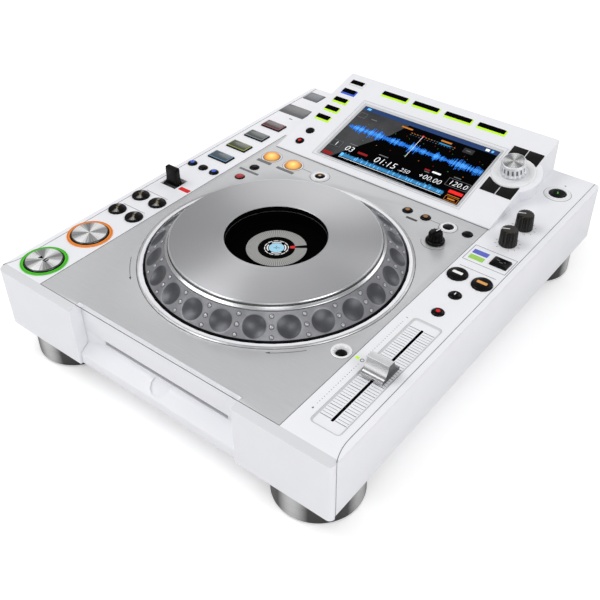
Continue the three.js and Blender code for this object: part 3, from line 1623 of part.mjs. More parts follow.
const sourcePlaces = () =>
  Array.from({ length: SOURCE_COUNT }, (_, i) => [
    -HOUSING_LEFT + SOURCE_FROM_LEFT,
    SOURCE_U + i * SOURCE_PITCH,
  ]);
const browsePlaces = () => keyRow(BROWSE_X, BROWSE_U, BROWSE_COUNT, BROWSE_PITCH);
const spotPlaces = () => [
  [-HOUSING_LEFT + SPOT_FROM_LEFT, SPOT_LOW_U],
  [-HOUSING_LEFT + SPOT_FROM_LEFT, SPOT_HIGH_U],
];

// A menu key block beside the selector, cut round by the selector's dish
function menuBlock(u, grow, w0, w1) {
  const x = SELECTOR_X - MENU_SHIFT;
  const block = centredBox(x, u, MENU_W + 2 * grow, MENU_D + 2 * grow, w0, w1);
  const clear = disc(SELECTOR_X, SELECTOR_U, MENU_CLEAR_R - grow, w0 - OVERRUN, w1 + OVERRUN, WIDE_SIDES);
  return cut(block, clear);
}

function screenWindow() {
  const x0 = -HOUSING_LEFT + SCREEN_FROM_LEFT;
  return box(
    x0 + GAP,
    x0 + SCREEN_W - GAP,
    SCREEN_LOW + GAP,
    SCREEN_LOW + SCREEN_H - GAP,
    -HOUSING_WALL - OVERRUN,
    -FRAME_DEPTH / 2,
  );
}

// The bevelled frame that leads down to the screen, wider at the left and the top
function screenFrame() {
  const x0 = -HOUSING_LEFT + SCREEN_FROM_LEFT;
  const x1 = x0 + SCREEN_W;
  const u0 = SCREEN_LOW;
  const u1 = SCREEN_LOW + SCREEN_H;
  const [low, high] = [-FRAME_DEPTH, FRAME_DEPTH];
  const corners = [
    [x0, u0, low],
    [x1, u0, low],
    [x1, u1, low],
    [x0, u1, low],
    [x0 - 2 * FRAME_LEFT, u0 - 2 * FRAME_LOW, high],
    [x1 + 2 * FRAME_RIGHT, u0 - 2 * FRAME_LOW, high],
    [x1 + 2 * FRAME_RIGHT, u1 + 2 * FRAME_TOP, high],
    [x0 - 2 * FRAME_LEFT, u1 + 2 * FRAME_TOP, high],
  ];
  const sides = [0, 1, 2, 3].flatMap((i) => {
    const j = (i + 1) % 4;
    return [i, j, j + 4, i, j + 4, i + 4];
  });
  const geometry = new THREE.BufferGeometry();
  geometry.setAttribute("position", new THREE.Float32BufferAttribute(corners.flat(), 3));
  geometry.setIndex([0, 2, 1, 0, 3, 2, 4, 5, 6, 4, 6, 7, ...sides]);
  return geometry;
}

function makeDisplayHousing() {
  const shell = cut(housingWedge(0, DECK), housingWedge(HOUSING_WALL, DECK - OVERRUN));
  const bulge = common(
    onFace(cone(SELECTOR_X, SELECTOR_U, BULGE_LOW_R, BULGE_TOP_R, -BULGE_H, -GAP, WIDE_SIDES)),
    box(HOUSING_RIGHT - HOUSING_WALL / 2, HALF_W, FRONT, REAR, DECK, DECK + BODY_HEIGHT),
  );
  const bulgeRoom = onFace(
    cone(
      SELECTOR_X,
      SELECTOR_U,
      BULGE_LOW_R - HOUSING_WALL,
      BULGE_TOP_R - HOUSING_WALL,
      -BULGE_H - OVERRUN,
      -HOUSING_WALL - GAP,
      WIDE_SIDES,
    ),
  );
  const dish = onFace(
    turned(
      [
        [0, -HOUSING_WALL / 2],
        [DISH_R, -HOUSING_WALL / 2],
        [DISH_R - DISH_LIFT, DISH_LIFT],
        [SELECTOR_R + DISH_LIFT, DISH_LIFT / 2],
        [0, DISH_LIFT / 2],
      ],
      WIDE_SIDES,
    ).translate(SELECTOR_X, SELECTOR_U, 0),
  );
  const low = -HOUSING_WALL - OVERRUN;
  const keyHoles = [
    ...sourcePlaces().map(([x, u]) => centredBox(x, u, SOURCE_W + 2 * GAP, SOURCE_D + 2 * GAP, low, OVERRUN)),
    ...browsePlaces().map(([x, u]) => centredBox(x, u, BROWSE_W + 2 * GAP, BROWSE_D + 2 * GAP, low, OVERRUN)),
    ...spotPlaces().map(([x, u]) => disc(x, u, SPOT_R + GAP, low, OVERRUN, SMALL_SIDES)),
    disc(SELECTOR_X, SELECTOR_U, SHAFT_R + GAP, low, OVERRUN, SMALL_SIDES),
    screenFrame(),
    geometryOf(menuBlock(MENU_REAR_U, GAP, low, OVERRUN)),
    geometryOf(menuBlock(MENU_FRONT_U, GAP, low, OVERRUN)),
  ].map(onFace);
  return cut(join(shell, cut(bulge, bulgeRoom), dish), ...keyHoles, onFace(screenWindow()));
}

// Display panel behind the window, in the face's own frame
function makeDisplayPanel() {
  const x0 = -HOUSING_LEFT + SCREEN_FROM_LEFT;
  return box(
    x0 - SCREEN_PANEL_MARGIN,
    x0 + SCREEN_W + SCREEN_PANEL_MARGIN,
    SCREEN_LOW - SCREEN_PANEL_MARGIN,
    SCREEN_LOW + SCREEN_H + SCREEN_PANEL_MARGIN,
    -HOUSING_WALL - GAP - SCREEN_PANEL_T,
    -HOUSING_WALL - GAP,
  );
}

// Keys on one strip behind the face: caps through the holes, joined by a bar below
function faceKeys(caps, places, barW) {
  const barTop = -HOUSING_WALL - GAP;
  const xs = places.map(([x]) => x);
  const us = places.map(([, u]) => u);
  const bar = box(
    Math.min(...xs) - barW / 2,
    Math.max(...xs) + barW / 2,
    Math.min(...us) - barW / 2,
    Math.max(...us) + barW / 2,
    barTop - STRIP_T,
    barTop,
  );
  return join(bar, ...caps);
}

function makeSourceKeys() {
  const low = -HOUSING_WALL - GAP - STRIP_T / 2;
  const caps = sourcePlaces().map(([x, u]) => centredBox(x, u, SOURCE_W, SOURCE_D, low, KEY_LIFT));
  return faceKeys(caps, sourcePlaces(), SOURCE_D);
}

function makeBrowseKeys() {
  const low = -HOUSING_WALL - GAP - STRIP_T / 2;
  const caps = browsePlaces().map(([x, u]) => centredBox(x, u, BROWSE_W, BROWSE_D, low, KEY_LIFT));
  return faceKeys(caps, browsePlaces(), BROWSE_D);
}

function makeSpotKeys() {
  const low = -HOUSING_WALL - GAP - STRIP_T / 2;
  const caps = spotPlaces().map(([x, u]) => disc(x, u, SPOT_R, low, KEY_LIFT, MID_SIDES));
  return faceKeys(caps, spotPlaces(), SPOT_R);
}

// Two menu keys side by side on a lip that stays under the face, with a fine groove between them
function makeMenuKeys(u) {
  const high = -HOUSING_WALL - GAP;
  const x = SELECTOR_X - MENU_SHIFT;
  const block = menuBlock(u, 0, high - STRIP_T / 2, KEY_LIFT);
  const lip = centredBox(x - MENU_LIP, u, MENU_W, MENU_D + 2 * MENU_LIP, high - STRIP_T, high);
  const groove = centredBox(x, u, MENU_SPLIT, MENU_D + OVERRUN, -HOUSING_WALL, KEY_LIFT + OVERRUN);
  return cut(join(block, lip), groove);
}

// Selector knob: a flared skirt, a fluted waist and a bright domed top

function flutedKnob(profile, flutes, fluteR, ringR, low, high, sides) {
  const grooves = Array.from({ length: flutes }, (_, i) => {
    const angle = (2 * Math.PI * i) / flutes;
    return disc(ringR * Math.cos(angle), ringR * Math.sin(angle), fluteR, low, high, FLUTE_SIDES);
  });
  return cut(turned(profile, sides), ...grooves);
}

function makeSelectorKnob() {
  const bottom = DISH_LIFT + GAP + SELECTOR_TRAVEL;
  const body = flutedKnob(
    [
      [0, bottom],
      [SELECTOR_R, bottom],
      [SELECTOR_R, bottom + SELECTOR_SKIRT_H / 2],
      [SELECTOR_TOP_R, bottom + SELECTOR_SKIRT_H],
      [SELECTOR_TOP_R, SELECTOR_H - CAP_EDGE],
      [SELECTOR_TOP_R - CAP_EDGE, SELECTOR_H],
      [0, SELECTOR_H],
    ],
    SELECTOR_FLUTES,
    SELECTOR_FLUTE_R,
    SELECTOR_R,
    bottom - OVERRUN,
    SELECTOR_H - SELECTOR_SKIRT_H,
    WIDE_SIDES,
  );
  const bore = disc(0, 0, SHAFT_R + GAP, bottom - OVERRUN, SELECTOR_H - SELECTOR_SKIRT_H, SMALL_SIDES);
  return cut(body, bore);
}

function makeSelectorShaft() {
  const low = -HOUSING_WALL - SHAFT_DROP;
  return turned(
    [
      [0, low],
      [SHAFT_R + FLANGE, low],
      [SHAFT_R + FLANGE, -HOUSING_WALL - GAP],
      [SHAFT_R, -HOUSING_WALL - GAP],
      [SHAFT_R, SELECTOR_H - SELECTOR_SKIRT_H - GAP],
      [0, SELECTOR_H - SELECTOR_SKIRT_H - GAP],
    ],
    SMALL_SIDES,
  );
}

// Deck buttons, drawn about their own axis from the deck's height

function buttonForm(r, lift) {
  const edge = Math.min(CAP_EDGE, lift > 0 ? lift : CAP_EDGE);
  const low = -WALL - BUTTON_TRAVEL - FLANGE;
  const cap = turned(
    [
      [0, low],
      [r + FLANGE, low],
      [r + FLANGE, -WALL - GAP],
      [r, -WALL - GAP],
      [r, lift - edge],
      [r - edge, lift],
      [0, lift],
    ],
    sidesFor(r),
  );
  return join(cap, centredBox(0, 0, r * STEM_SHARE, r * STEM_SHARE, -STEM_DEPTH, -WALL));
}

function stripForm({ r, lift, pitch, count }) {
  const caps = stripXs({ x: 0, pitch, count }).map((x) => geometryOf(buttonForm(r, lift)).translate(x, 0, 0));
  const reach = ((count - 1) / 2) * pitch;
  const high = -WALL - GAP;
  return join(...caps, box(-reach, reach, -r / 2, r / 2, high - STRIP_T, high));
}

function padForm(width, depth) {
  const low = -WALL - GAP;
  const cap = roundedShape(-width / 2, width / 2, -depth / 2, depth / 2, [PAD_R, PAD_R, PAD_R, PAD_R]);
  return join(
    slab(cap, low - STRIP_T / 2, PAD_LIFT),
    centredBox(0, 0, width + FLANGE, depth + FLANGE, low - STRIP_T, low),
    centredBox(0, 0, width / 2, depth / 2, -STEM_DEPTH, low),
  );
}

// Flaps, drawn from the middle of their hinge line on the rear edge
function flapForm(width, depth) {
  const plate = box(-width / 2, width / 2, -depth, 0, -FLAP_T, 0);
  const grip = centredBox(0, -depth, width * FLAP_GRIP_SHARE, 2 * FLAP_GRIP_D, -FLAP_T / 2, OVERRUN);
  return cut(plate, grip);
}

// Direction lever: a paddle on a drum that closes its slot, with a pin through the drum
function makeLever() {
  const drum = rodX(-LEVER_W / 2, LEVER_W / 2, 0, 0, LEVER_DRUM_R, WIDE_SIDES);
  const pin = rodX(
    -LEVER_W / 2 - LEVER_PIN_REACH,
    LEVER_W / 2 + LEVER_PIN_REACH,
    0,
    0,
    LEVER_PIN_R,
    SMALL_SIDES,
  );
  const low = LEVER_DRUM_R * LEVER_ROOT_SHARE;
  const high = LEVER_PIVOT_DROP + LEVER_LIFT;
  const paddle = new THREE.CylinderGeometry(Math.SQRT1_2, Math.SQRT1_2, high - low, 4, 1, false, Math.PI / 4);
  paddle.rotateX(Math.PI / 2).translate(0, 0, (high + low) / 2);
  const position = paddle.getAttribute("position");
  for (let i = 0; i < position.count; i++) {
    const share = (position.getZ(i) - low) / (high - low);
    position.setX(i, position.getX(i) * THREE.MathUtils.lerp(LEVER_LOW_W, LEVER_TOP_W, share));
    position.setY(i, position.getY(i) * THREE.MathUtils.lerp(LEVER_LOW_T, LEVER_TOP_T, share));
  }
  return join(drum, pin, paddle);
}

// Turning knobs, drawn about their axis from the deck's height
function makeTopKnob() {
  const body = flutedKnob(
    [
      [0, GAP],
      [TOP_KNOB_R, GAP],
      [TOP_KNOB_TOP_R, TOP_KNOB_H - CAP_EDGE],
      [TOP_KNOB_TOP_R - CAP_EDGE, TOP_KNOB_H],
      [0, TOP_KNOB_H],
    ],
    KNOB_FLUTES,
    KNOB_FLUTE_R,
    TOP_KNOB_R,
    -OVERRUN,
    TOP_KNOB_H - FLANGE,
    WIDE_SIDES,
  );
  return join(body, disc(0, 0, SHAFT_R, -KNOB_SHAFT_DROP, TOP_KNOB_H / 2, SMALL_SIDES));
}

function makeWeightKnob() {
  const body = turned(
    [
      [0, GAP],
      [WEIGHT_SKIRT_R, GAP],
      [WEIGHT_SKIRT_R - CAP_EDGE, WEIGHT_SKIRT_H],
      [WEIGHT_R, WEIGHT_SKIRT_H],
      [WEIGHT_R, WEIGHT_H],
      [0, WEIGHT_H],
    ],
    MID_SIDES,
  );
  const ridge = centredBox(0, 0, WEIGHT_RIDGE_W, 2 * WEIGHT_R, WEIGHT_SKIRT_H, WEIGHT_H + WEIGHT_RIDGE_H);
  return join(body, ridge, disc(0, 0, SHAFT_R, -KNOB_SHAFT_DROP, WEIGHT_H / 2, SMALL_SIDES));
}

// Tempo slider: a saddle-shaped cap on a stem, with its carriage below the deck
function makeTempoSlider() {
  const low = GAP;
  const waist = CAP_HALF - (CAP_HALF - CAP_BAR_HALF) * CAP_WAIST_SHARE;
  const waistZ = CAP_H - (CAP_H - CAP_LIP) * (1 - CAP_WAIST_DROP_SHARE);
  const half = [
    [CAP_HALF, low],
    [CAP_HALF, CAP_LIP],
    [waist, waistZ - CAP_EDGE],
    [CAP_BAR_HALF + CAP_EDGE, CAP_H - 2 * CAP_EDGE],
    [CAP_BAR_HALF, CAP_H],
  ];
  const mirrored = [...half].reverse().map(([y, z]) => [-y, z]);
  const cap = across([...half, ...mirrored], -CAP_W / 2, CAP_W / 2);
  const stem = centredBox(0, 0, STEM_T, STEM_L, -WALL - CARRIAGE_DROP, CAP_LIP);
  const carriageTop = -WALL - CARRIAGE_DROP / 2;
  const carriage = centredBox(0, 0, CARRIAGE_W, STEM_L, carriageTop - CARRIAGE_H, carriageTop);
  return join(cap, stem, carriage);
}

// The whole player

const player = new THREE.Group();
const jogY = fromFront(JOG_Y);

player.add(
  piece("bottom_case", makeBottomCase(), WHITE),
  piece("top_cover", makeTopCover(), WHITE),
  piece("deck_plate", makeDeckPlate(), SILVER),
  piece("front_bezel", makeFrontBezel(), WHITE),
  piece("rear_panel", makeRearPanel(), DARK_GREY),
  piece("display_housing", makeDisplayHousing(), WHITE),
  piece("disc_drive", makeDiscDrive(), STEEL),
  piece("main_board", makeMainBoard(), GREEN_BOARD),
  piece("power_supply", makePowerSupply(), GREEN_BOARD),
  piece("jog_bearing", makeJogBearing(), BLACK, JOG_X, jogY, DECK),
  piece("hub_display", makeHubDisplay(), DARK_GREY, JOG_X, jogY, DECK),
  piece("jog_ring", makeJogRing(), SMOKE, JOG_X, jogY, DECK),
  piece("jog_plate", makeJogPlate(), SILVER, JOG_X, jogY, DECK),
);

footPlaces().forEach(([x, y], i) => {
  player.add(piece(`foot_${FOOT_NAMES[i]}`, footForm(), STEEL, x, y));
});

player.add(
  piece(
    "drive_spindle",
    makeDriveSpindle(),
    BLACK,
    JOG_X,
    fromFront(DRIVE_FRONT) + BAY_DEPTH / 2,
    FOOT_HEIGHT + SLOT_LOW - SPINDLE_T - SPINDLE_CONE_H - GAP,
  ),
  piece(
    "power_switch",
    makePowerSwitch(),
    BLACK,
    SWITCH_X,
    REAR - WALL - PANEL_T / 2,
    boardTop() + SWITCH_H / 2,
  ),
  piece("direction_lever", makeLever(), BLACK, LEVER_X, fromFront(LEVER_Y), DECK - LEVER_PIVOT_DROP),
  piece("tempo_slider", makeTempoSlider(), CHROME, SLIDER_X, fromFront(SLIDER_Y), DECK),
);

for (const { name, x, y, r, lift, look } of roundButtons) {
  player.add(piece(name, buttonForm(r, lift), look, x, fromFront(y), DECK));
}

for (const strip of buttonStrips) {
  player.add(piece(strip.name, stripForm(strip), BLACK, strip.x, fromFront(strip.y), DECK));
}

for (const { name, x, y, width, depth, look } of squareKeys) {
  player.add(piece(name, padForm(width, depth), look, x, fromFront(y), DECK));
}

for (const { name, x, y, width, depth } of flaps) {
  player.add(piece(name, flapForm(width, depth), MID_GREY, x, fromFront(y + depth / 2), DECK + FLAP_PROUD));
}

for (const { name, x, y, make } of knobs) {
  player.add(piece(name, make(), BLACK, x, fromFront(y), DECK));
}

// What sits on the tilted face is placed in the face's own frame
const face = new THREE.Group();
face.position.set(0, fromFront(HOUSING_FRONT), DECK + HOUSING_LIP);
face.rotation.x = TILT;
face.add(
  piece("display_panel", makeDisplayPanel(), GLASS),
  piece("source_keys", makeSourceKeys(), BLACK),
  piece("browse_keys", makeBrowseKeys(), BLACK),
  piece("link_keys", makeSpotKeys(), BLACK),
  piece("menu_keys_rear", makeMenuKeys(MENU_REAR_U), DARK_GREY),
  piece("menu_keys_front", makeMenuKeys(MENU_FRONT_U), DARK_GREY),
  piece("selector_shaft", makeSelectorShaft(), STEEL, SELECTOR_X, SELECTOR_U),
  piece("selector_knob", makeSelectorKnob(), CHROME, SELECTOR_X, SELECTOR_U),
);
player.add(face);

export default player;
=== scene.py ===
# The looks of a tabletop disc and media player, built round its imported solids.
# Sizes are in millimetres until a piece is settled, which turns it into metres.
import math
import random

import bmesh
import bpy
from mathutils import Matrix, Vector


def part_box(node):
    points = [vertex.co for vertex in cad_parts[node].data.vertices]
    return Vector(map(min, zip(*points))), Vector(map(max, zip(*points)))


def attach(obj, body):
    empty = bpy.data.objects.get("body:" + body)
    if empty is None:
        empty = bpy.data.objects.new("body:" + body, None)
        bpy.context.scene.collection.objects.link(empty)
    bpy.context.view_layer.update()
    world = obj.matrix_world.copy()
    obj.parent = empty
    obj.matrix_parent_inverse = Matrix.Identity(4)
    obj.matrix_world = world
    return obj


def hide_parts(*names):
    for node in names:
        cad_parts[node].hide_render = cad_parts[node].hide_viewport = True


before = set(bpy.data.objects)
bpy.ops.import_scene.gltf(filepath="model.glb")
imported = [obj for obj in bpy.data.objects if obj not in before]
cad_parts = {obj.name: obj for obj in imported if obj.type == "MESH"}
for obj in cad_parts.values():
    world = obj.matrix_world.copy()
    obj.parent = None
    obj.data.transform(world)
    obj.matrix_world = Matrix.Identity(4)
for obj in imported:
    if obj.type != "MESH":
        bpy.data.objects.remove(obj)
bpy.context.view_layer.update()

MM = 0.001
FULL_TURN = 2 * math.pi
TINY = 1e-6
WELD = 1e-4
CAD_WELD = 0.002

# The casing, as the solids have it
FRONT = -201.5
REAR = 195.5
DECK = 79.0
CASE_LOW = 25.0
PRINT_T = 0.12

# The jog wheel
JOG_X = -0.6
JOG_FROM_FRONT = 143.1
JOG_Y = FRONT + JOG_FROM_FRONT
JOG_CENTRE = (JOG_X, JOG_Y, 0)
JOG_PLACE = Matrix.Translation(JOG_CENTRE)
JOG_R = 102.8
SLOPE_TOP_R = 86.0
SLOPE_TOP_Z = 93.6
SLOPE_RUN = JOG_R - SLOPE_TOP_R
SLOPE_FALL = SLOPE_TOP_Z - DECK
SLOPE_LENGTH = math.hypot(SLOPE_RUN, SLOPE_FALL)
PLATE_LOW_Z = 93.95
PLATE_TOP_Z = 98.2
PLATE_TOP_R = 82.4
PLATE_R = 85.4
WELL_R = 40.0
WELL_FLOOR_Z = 82.2
DIMPLES = 24
DIMPLE_R = 8.7
DIMPLE_DEPTH = 2.0
DIMPLE_RING_R = 94.2
HUB_Z = 86.2
HUB_R = 24.2

# The tilted face of the display housing
TILT = math.atan2(29.2, 121.0)
FACE = Matrix.Translation((0, FRONT + 276.0, DECK + 1.0)) @ Matrix.Rotation(TILT, 4, "X")
SCREEN_X0 = -71.0
SCREEN_X1 = 78.7
SCREEN_U0 = 10.5
SCREEN_U1 = 90.5
SELECTOR_X = 99.8
SELECTOR_U = 68.7

# The slider's tray: its two sides, its front and its rear
TRAY = (125.5, 149.0, 22.0, 146.0)


def from_front(y):
    return FRONT + y


def shift(x, y, z=0):
    return Matrix.Translation((x, y, z))


def turned(angle, axis="Z"):
    return Matrix.Rotation(angle, 4, axis)


# Node helpers for the finishes


class Nodes:
    """The node tree of one finish, with short calls for the nodes that the finishes share."""

    def __init__(self, name):
        self.material = bpy.data.materials.new(name)
        self.material.use_nodes = True
        self.tree = self.material.node_tree
        self.shader = self.tree.nodes["Principled BSDF"]

    def new(self, kind, **settings):
        node = self.tree.nodes.new(kind)
        for key, value in settings.items():
            setattr(node, key, value)
        return node

    def link(self, source, target):
        self.tree.links.new(source, target)

    def feed(self, key, source):
        """Links a source to a socket of the shader."""
        self.link(source, self.shader.inputs[key])

    def math(self, operation, first, second=None, third=None):
        node = self.new("ShaderNodeMath", operation=operation)
        for socket, value in zip(node.inputs, (first, second, third)):
            if value is None:
                continue
            if isinstance(value, (int, float)):
                socket.default_value = value
            else:
                self.link(value, socket)
        return node.outputs[0]

    def place(self, centre=(0, 0, 0), scale=(1, 1, 1)):
        """Object coordinates in millimetres about a centre."""
        coordinates = self.new("ShaderNodeTexCoord")
        mapping = self.new("ShaderNodeMapping", vector_type="TEXTURE")
        mapping.inputs["Location"].default_value = [c * MM for c in centre]
        mapping.inputs["Scale"].default_value = [MM / s for s in scale]
        self.link(coordinates.outputs["Object"], mapping.inputs["Vector"])
        return mapping.outputs["Vector"]

    def split(self, vector):
        node = self.new("ShaderNodeSeparateXYZ")
        self.link(vector, node.inputs[0])
        return node.outputs

    def radius(self, vector):
        x, y, _ = self.split(vector)
        square = self.math("ADD", self.math("MULTIPLY", x, x), self.math("MULTIPLY", y, y))
        return self.math("SQRT", square)

    def angle(self, vector):
        x, y, _ = self.split(vector)
        return self.math("ARCTAN2", y, x)

    def noise(self, vector, scale, detail=3.0, rough=0.5):
        node = self.new("ShaderNodeTexNoise")
        node.inputs["Scale"].default_value = scale
        node.inputs["Detail"].default_value = detail
        node.inputs["Roughness"].default_value = rough
        self.link(vector, node.inputs["Vector"])
        return node.outputs["Fac"]

    def line_noise(self, value, scale, detail=2.0):
        node = self.new("ShaderNodeTexNoise", noise_dimensions="1D")
        node.inputs["Scale"].default_value = scale
        node.inputs["Detail"].default_value = detail
        self.link(value, node.inputs["W"])
        return node.outputs["Fac"]

    def spread(self, value, low, high, start=0.3, end=0.7):
        node = self.new("ShaderNodeMapRange")
        for key, number in (("From Min", start), ("From Max", end), ("To Min", low), ("To Max", high)):
            node.inputs[key].default_value = number
        self.link(value, node.inputs["Value"])
        return node.outputs["Result"]

    def mix(self, share, first, second):
        node = self.new("ShaderNodeMix", data_type="RGBA")
        if isinstance(share, float):
            node.inputs[0].default_value = share
        else:
            self.link(share, node.inputs[0])
        for socket, value in ((node.inputs[6], first), (node.inputs[7], second)):
            if isinstance(value, (tuple, list)):
                socket.default_value = (*value, 1.0)
            else:
                self.link(value, socket)
        return node.outputs[2]

    def bump(self, height, depth_mm):
        node = self.new("ShaderNodeBump")
        node.inputs["Strength"].default_value = 1.0
        node.inputs["Distance"].default_value = depth_mm * MM
        self.link(height, node.inputs["Height"])
        self.feed("Normal", node.outputs["Normal"])

    def flat_radial(self, vector):
        """The flat direction that points away from the middle."""
        x, y, _ = self.split(vector)
        reach = self.math("ADD", self.radius(vector), 0.01)
        node = self.new("ShaderNodeCombineXYZ")
        self.link(self.math("DIVIDE", x, reach), node.inputs[0])
        self.link(self.math("DIVIDE", y, reach), node.inputs[1])
        return node.outputs[0]

    def streak_along(self, direction):
        """Lets the shine spread along a direction of the object."""
        turn = self.new("ShaderNodeVectorTransform", vector_type="VECTOR")
        turn.convert_from = "OBJECT"
        turn.convert_to = "WORLD"
        self.link(direction, turn.inputs[0])
        self.feed("Tangent", turn.outputs[0])

    def sockets(self, **values):
        for key, value in values.items():
            self.shader.inputs[key.replace("_", " ")].default_value = value


def shade(colour, factor):
    return tuple(min(1.0, c * factor) for c in colour)


def moulded(name, colour, rough=0.4, clear=0.0, grain=0.02, mottle=0.05, shine=0.5):
    """Moulded or painted plastic: slight mottling, uneven gloss and a fine grain."""
    n = Nodes(name)
    place = n.place()
    cloud = n.noise(place, 0.035, 4.0)
    tint = n.mix(n.spread(cloud, 0, 1), shade(colour, 1 - mottle), shade(colour, 1 + mottle))
    n.feed("Base Color", tint)
    n.feed("Roughness", n.spread(n.noise(place, 0.3, 3.0), rough - 0.05, rough + 0.06))
    n.bump(n.noise(place, 3.2, 2.0), grain)
    n.sockets(Coat_Weight=clear, Coat_Roughness=0.08, Specular_IOR_Level=shine)
    return n.material


def brushed(name, colour, rough=0.38, metal=0.85, along="X", depth=0.02):
    """Metal brushed in one direction."""
    n = Nodes(name)
    scale = (0.05, 4.0, 4.0) if along == "X" else (4.0, 0.05, 4.0) if along == "Y" else (4.0, 4.0, 0.05)
    streak = n.noise(n.place(scale=scale), 1.0, 5.0, 0.65)
    n.feed("Base Color", n.mix(n.spread(streak, 0, 1), shade(colour, 0.93), shade(colour, 1.05)))
    n.feed("Roughness", n.spread(streak, rough - 0.08, rough + 0.08))
    n.bump(streak, depth)
    n.sockets(Metallic=metal)
    return n.material


def turned_metal(name, colour, centre, rough=0.3, metal=1.0, grooves=5.0, sheen=0.12, folds=2, depth=0.01):
    """Metal turned on a lathe: fine rings about a centre, whose shine spreads out along the radius, with
    bright and dark fans round the centre painted into its colour as reflection.
    """
    n = Nodes(name)
    place = n.place(centre)
    ring = n.line_noise(n.radius(place), grooves, 4.0)
    # Painted reflection: the colour brightens and darkens in fans by angle about the centre.
    painted_fan = n.math("SINE", n.math("MULTIPLY_ADD", n.angle(place), folds, 3.67))
    light = n.math("ADD", n.spread(ring, -0.22, 0.22), n.math("MULTIPLY", painted_fan, 0.5))
    n.feed(
        "Base Color",
        n.mix(n.spread(light, 0, 1, -0.7, 0.7), shade(colour, 1 - sheen), shade(colour, 1 + sheen))
    )
    n.feed("Roughness", n.spread(ring, rough - 0.04, rough + 0.05))
    n.bump(ring, depth)
    n.streak_along(n.flat_radial(place))
    n.sockets(Metallic=metal, Anisotropic=0.75)
    return n.material


def spun(
    name, dark, bright, centre, folds=4, phase=0.6, rough=0.25, metal=0.7, start=-0.45, end=0.45, shine=0.5
):
    """Metal spun about a centre: bright and dark rays fan out of it as painted reflection in its colour,
    with fine streaks and rings.
    """
    n = Nodes(name)
    place = n.place(centre)
    outward = n.flat_radial(place)
    streak = n.noise(outward, 9.0, 5.0, 0.75)
    # Painted reflection: bright and dark rays by angle in the colour.
    painted_fan = n.math("SINE", n.math("MULTIPLY_ADD", n.angle(place), folds, phase))
    light = n.math("ADD", n.math("MULTIPLY", painted_fan, 0.4), n.spread(streak, -0.4, 0.4))
    n.feed("Base Color", n.mix(n.spread(light, 0, 1, start, end), dark, bright))
    ring = n.line_noise(n.radius(place), 4.0, 3.0)
    n.feed("Roughness", n.spread(ring, rough - 0.05, rough + 0.07))
    n.bump(ring, 0.003)
    n.streak_along(outward)
    n.sockets(Metallic=metal, Anisotropic=0.6, Specular_IOR_Level=shine)
    return n.material


def ringed(name, dark, bright, centre):
    """Turned metal: fine rings one above another, and bright upright bands round it that are painted
    highlights.
    """
    n = Nodes(name)
    place = n.place(centre)
    ring = n.line_noise(n.split(place)[2], 2.4, 5.0)
    # Painted highlight: bright upright bands by angle about the axis.
    painted_highlight_band = n.math("SINE", n.math("MULTIPLY_ADD", n.angle(place), 4.0, 1.29))
    light = n.math("MULTIPLY", n.spread(painted_highlight_band, 0, 1, 0.1, 1.0), n.spread(ring, 0.8, 1.1))
    tone = n.mix(light, dark, bright)
    n.feed("Base Color", tone)
    n.feed("Roughness", n.spread(ring, 0.25, 0.36))
    n.bump(ring, 0.006)
    upright = n.new("ShaderNodeCombineXYZ")
    upright.inputs[2].default_value = 1.0
    n.streak_along(upright.outputs[0])
    n.sockets(Metallic=1.0, Anisotropic=0.8)
    return n.material


def lit(name, colour, glow=0.8, rough=0.35, centre=None, reach=8.0, core=None):
    """A lit lens: its own colour glows; where a centre is given the colour is brighter there and darker
    towards the rim, painted highlight and painted shade over the glow.
    """
    n = Nodes(name)
    place = n.place(centre or (0, 0, 0))
    if centre:
        share = n.spread(n.radius(place), 0, 1, 0.0, reach)
        tint = n.mix(share, core or shade(colour, 1.25), shade(colour, 0.8))
    else:
        tint = n.mix(n.spread(n.noise(place, 0.4, 2.0), 0, 1), shade(colour, 0.94), shade(colour, 1.06))
    n.feed("Base Color", tint)
    n.feed("Emission Color", tint)
    n.feed("Roughness", n.spread(n.noise(place, 0.8, 2.0), rough - 0.05, rough + 0.05))
    n.sockets(Emission_Strength=glow, Specular_IOR_Level=0.2)
    return n.material


def dimpled_ring(name):
    """The jog wheel's slope: satin grey round darker finger dimples, turning black at its foot as painted
    shade of the gap round the wheel.
    """
    n = Nodes(name)
    place = n.place(JOG_CENTRE)
    step = FULL_TURN / DIMPLES
    radius = n.radius(place)
    turn = n.math("DIVIDE", n.angle(place), step)
    offset = n.math("SUBTRACT", turn, n.math("ROUND", turn))
    aside = n.math("MULTIPLY", n.math("MULTIPLY", offset, step), radius)
    along = n.math("MULTIPLY", n.math("SUBTRACT", radius, DIMPLE_RING_R), SLOPE_LENGTH / SLOPE_RUN)
    reach = n.math(
        "SQRT", n.math("ADD", n.math("MULTIPLY", aside, aside), n.math("MULTIPLY", along, along))
    )
    inside = n.spread(reach, 1, 0, DIMPLE_R - 0.35, DIMPLE_R + 0.1)
    cloud = n.spread(n.noise(place, 0.12, 4.0), 0, 1)
    pale = n.mix(cloud, (0.24, 0.242, 0.262), (0.32, 0.322, 0.342))
    dark = n.mix(cloud, (0.085, 0.087, 0.097), (0.115, 0.117, 0.129))
    # Painted shade: the foot of the slope turns black for the dark gap between wheel and collar.
    foot = n.spread(radius, 0, 1, JOG_R - 1.5, JOG_R - 1.2)
    tone = n.mix(foot, n.mix(inside, pale, dark), (0.002, 0.002, 0.0025))
    n.feed("Base Color", tone)
    gloss = n.spread(n.noise(place, 0.7, 3.0), -0.03, 0.05)
    n.feed("Roughness", n.math("ADD", n.spread(inside, 0.4, 0.34, 0, 1), gloss))
    n.bump(n.noise(place, 3.0, 2.0), 0.012)
    n.feed("Metallic", n.spread(foot, 0.55, 0.0, 0, 1))
    n.feed("Specular IOR Level", n.spread(foot, 0.5, 0.05, 0, 1))
    return n.material


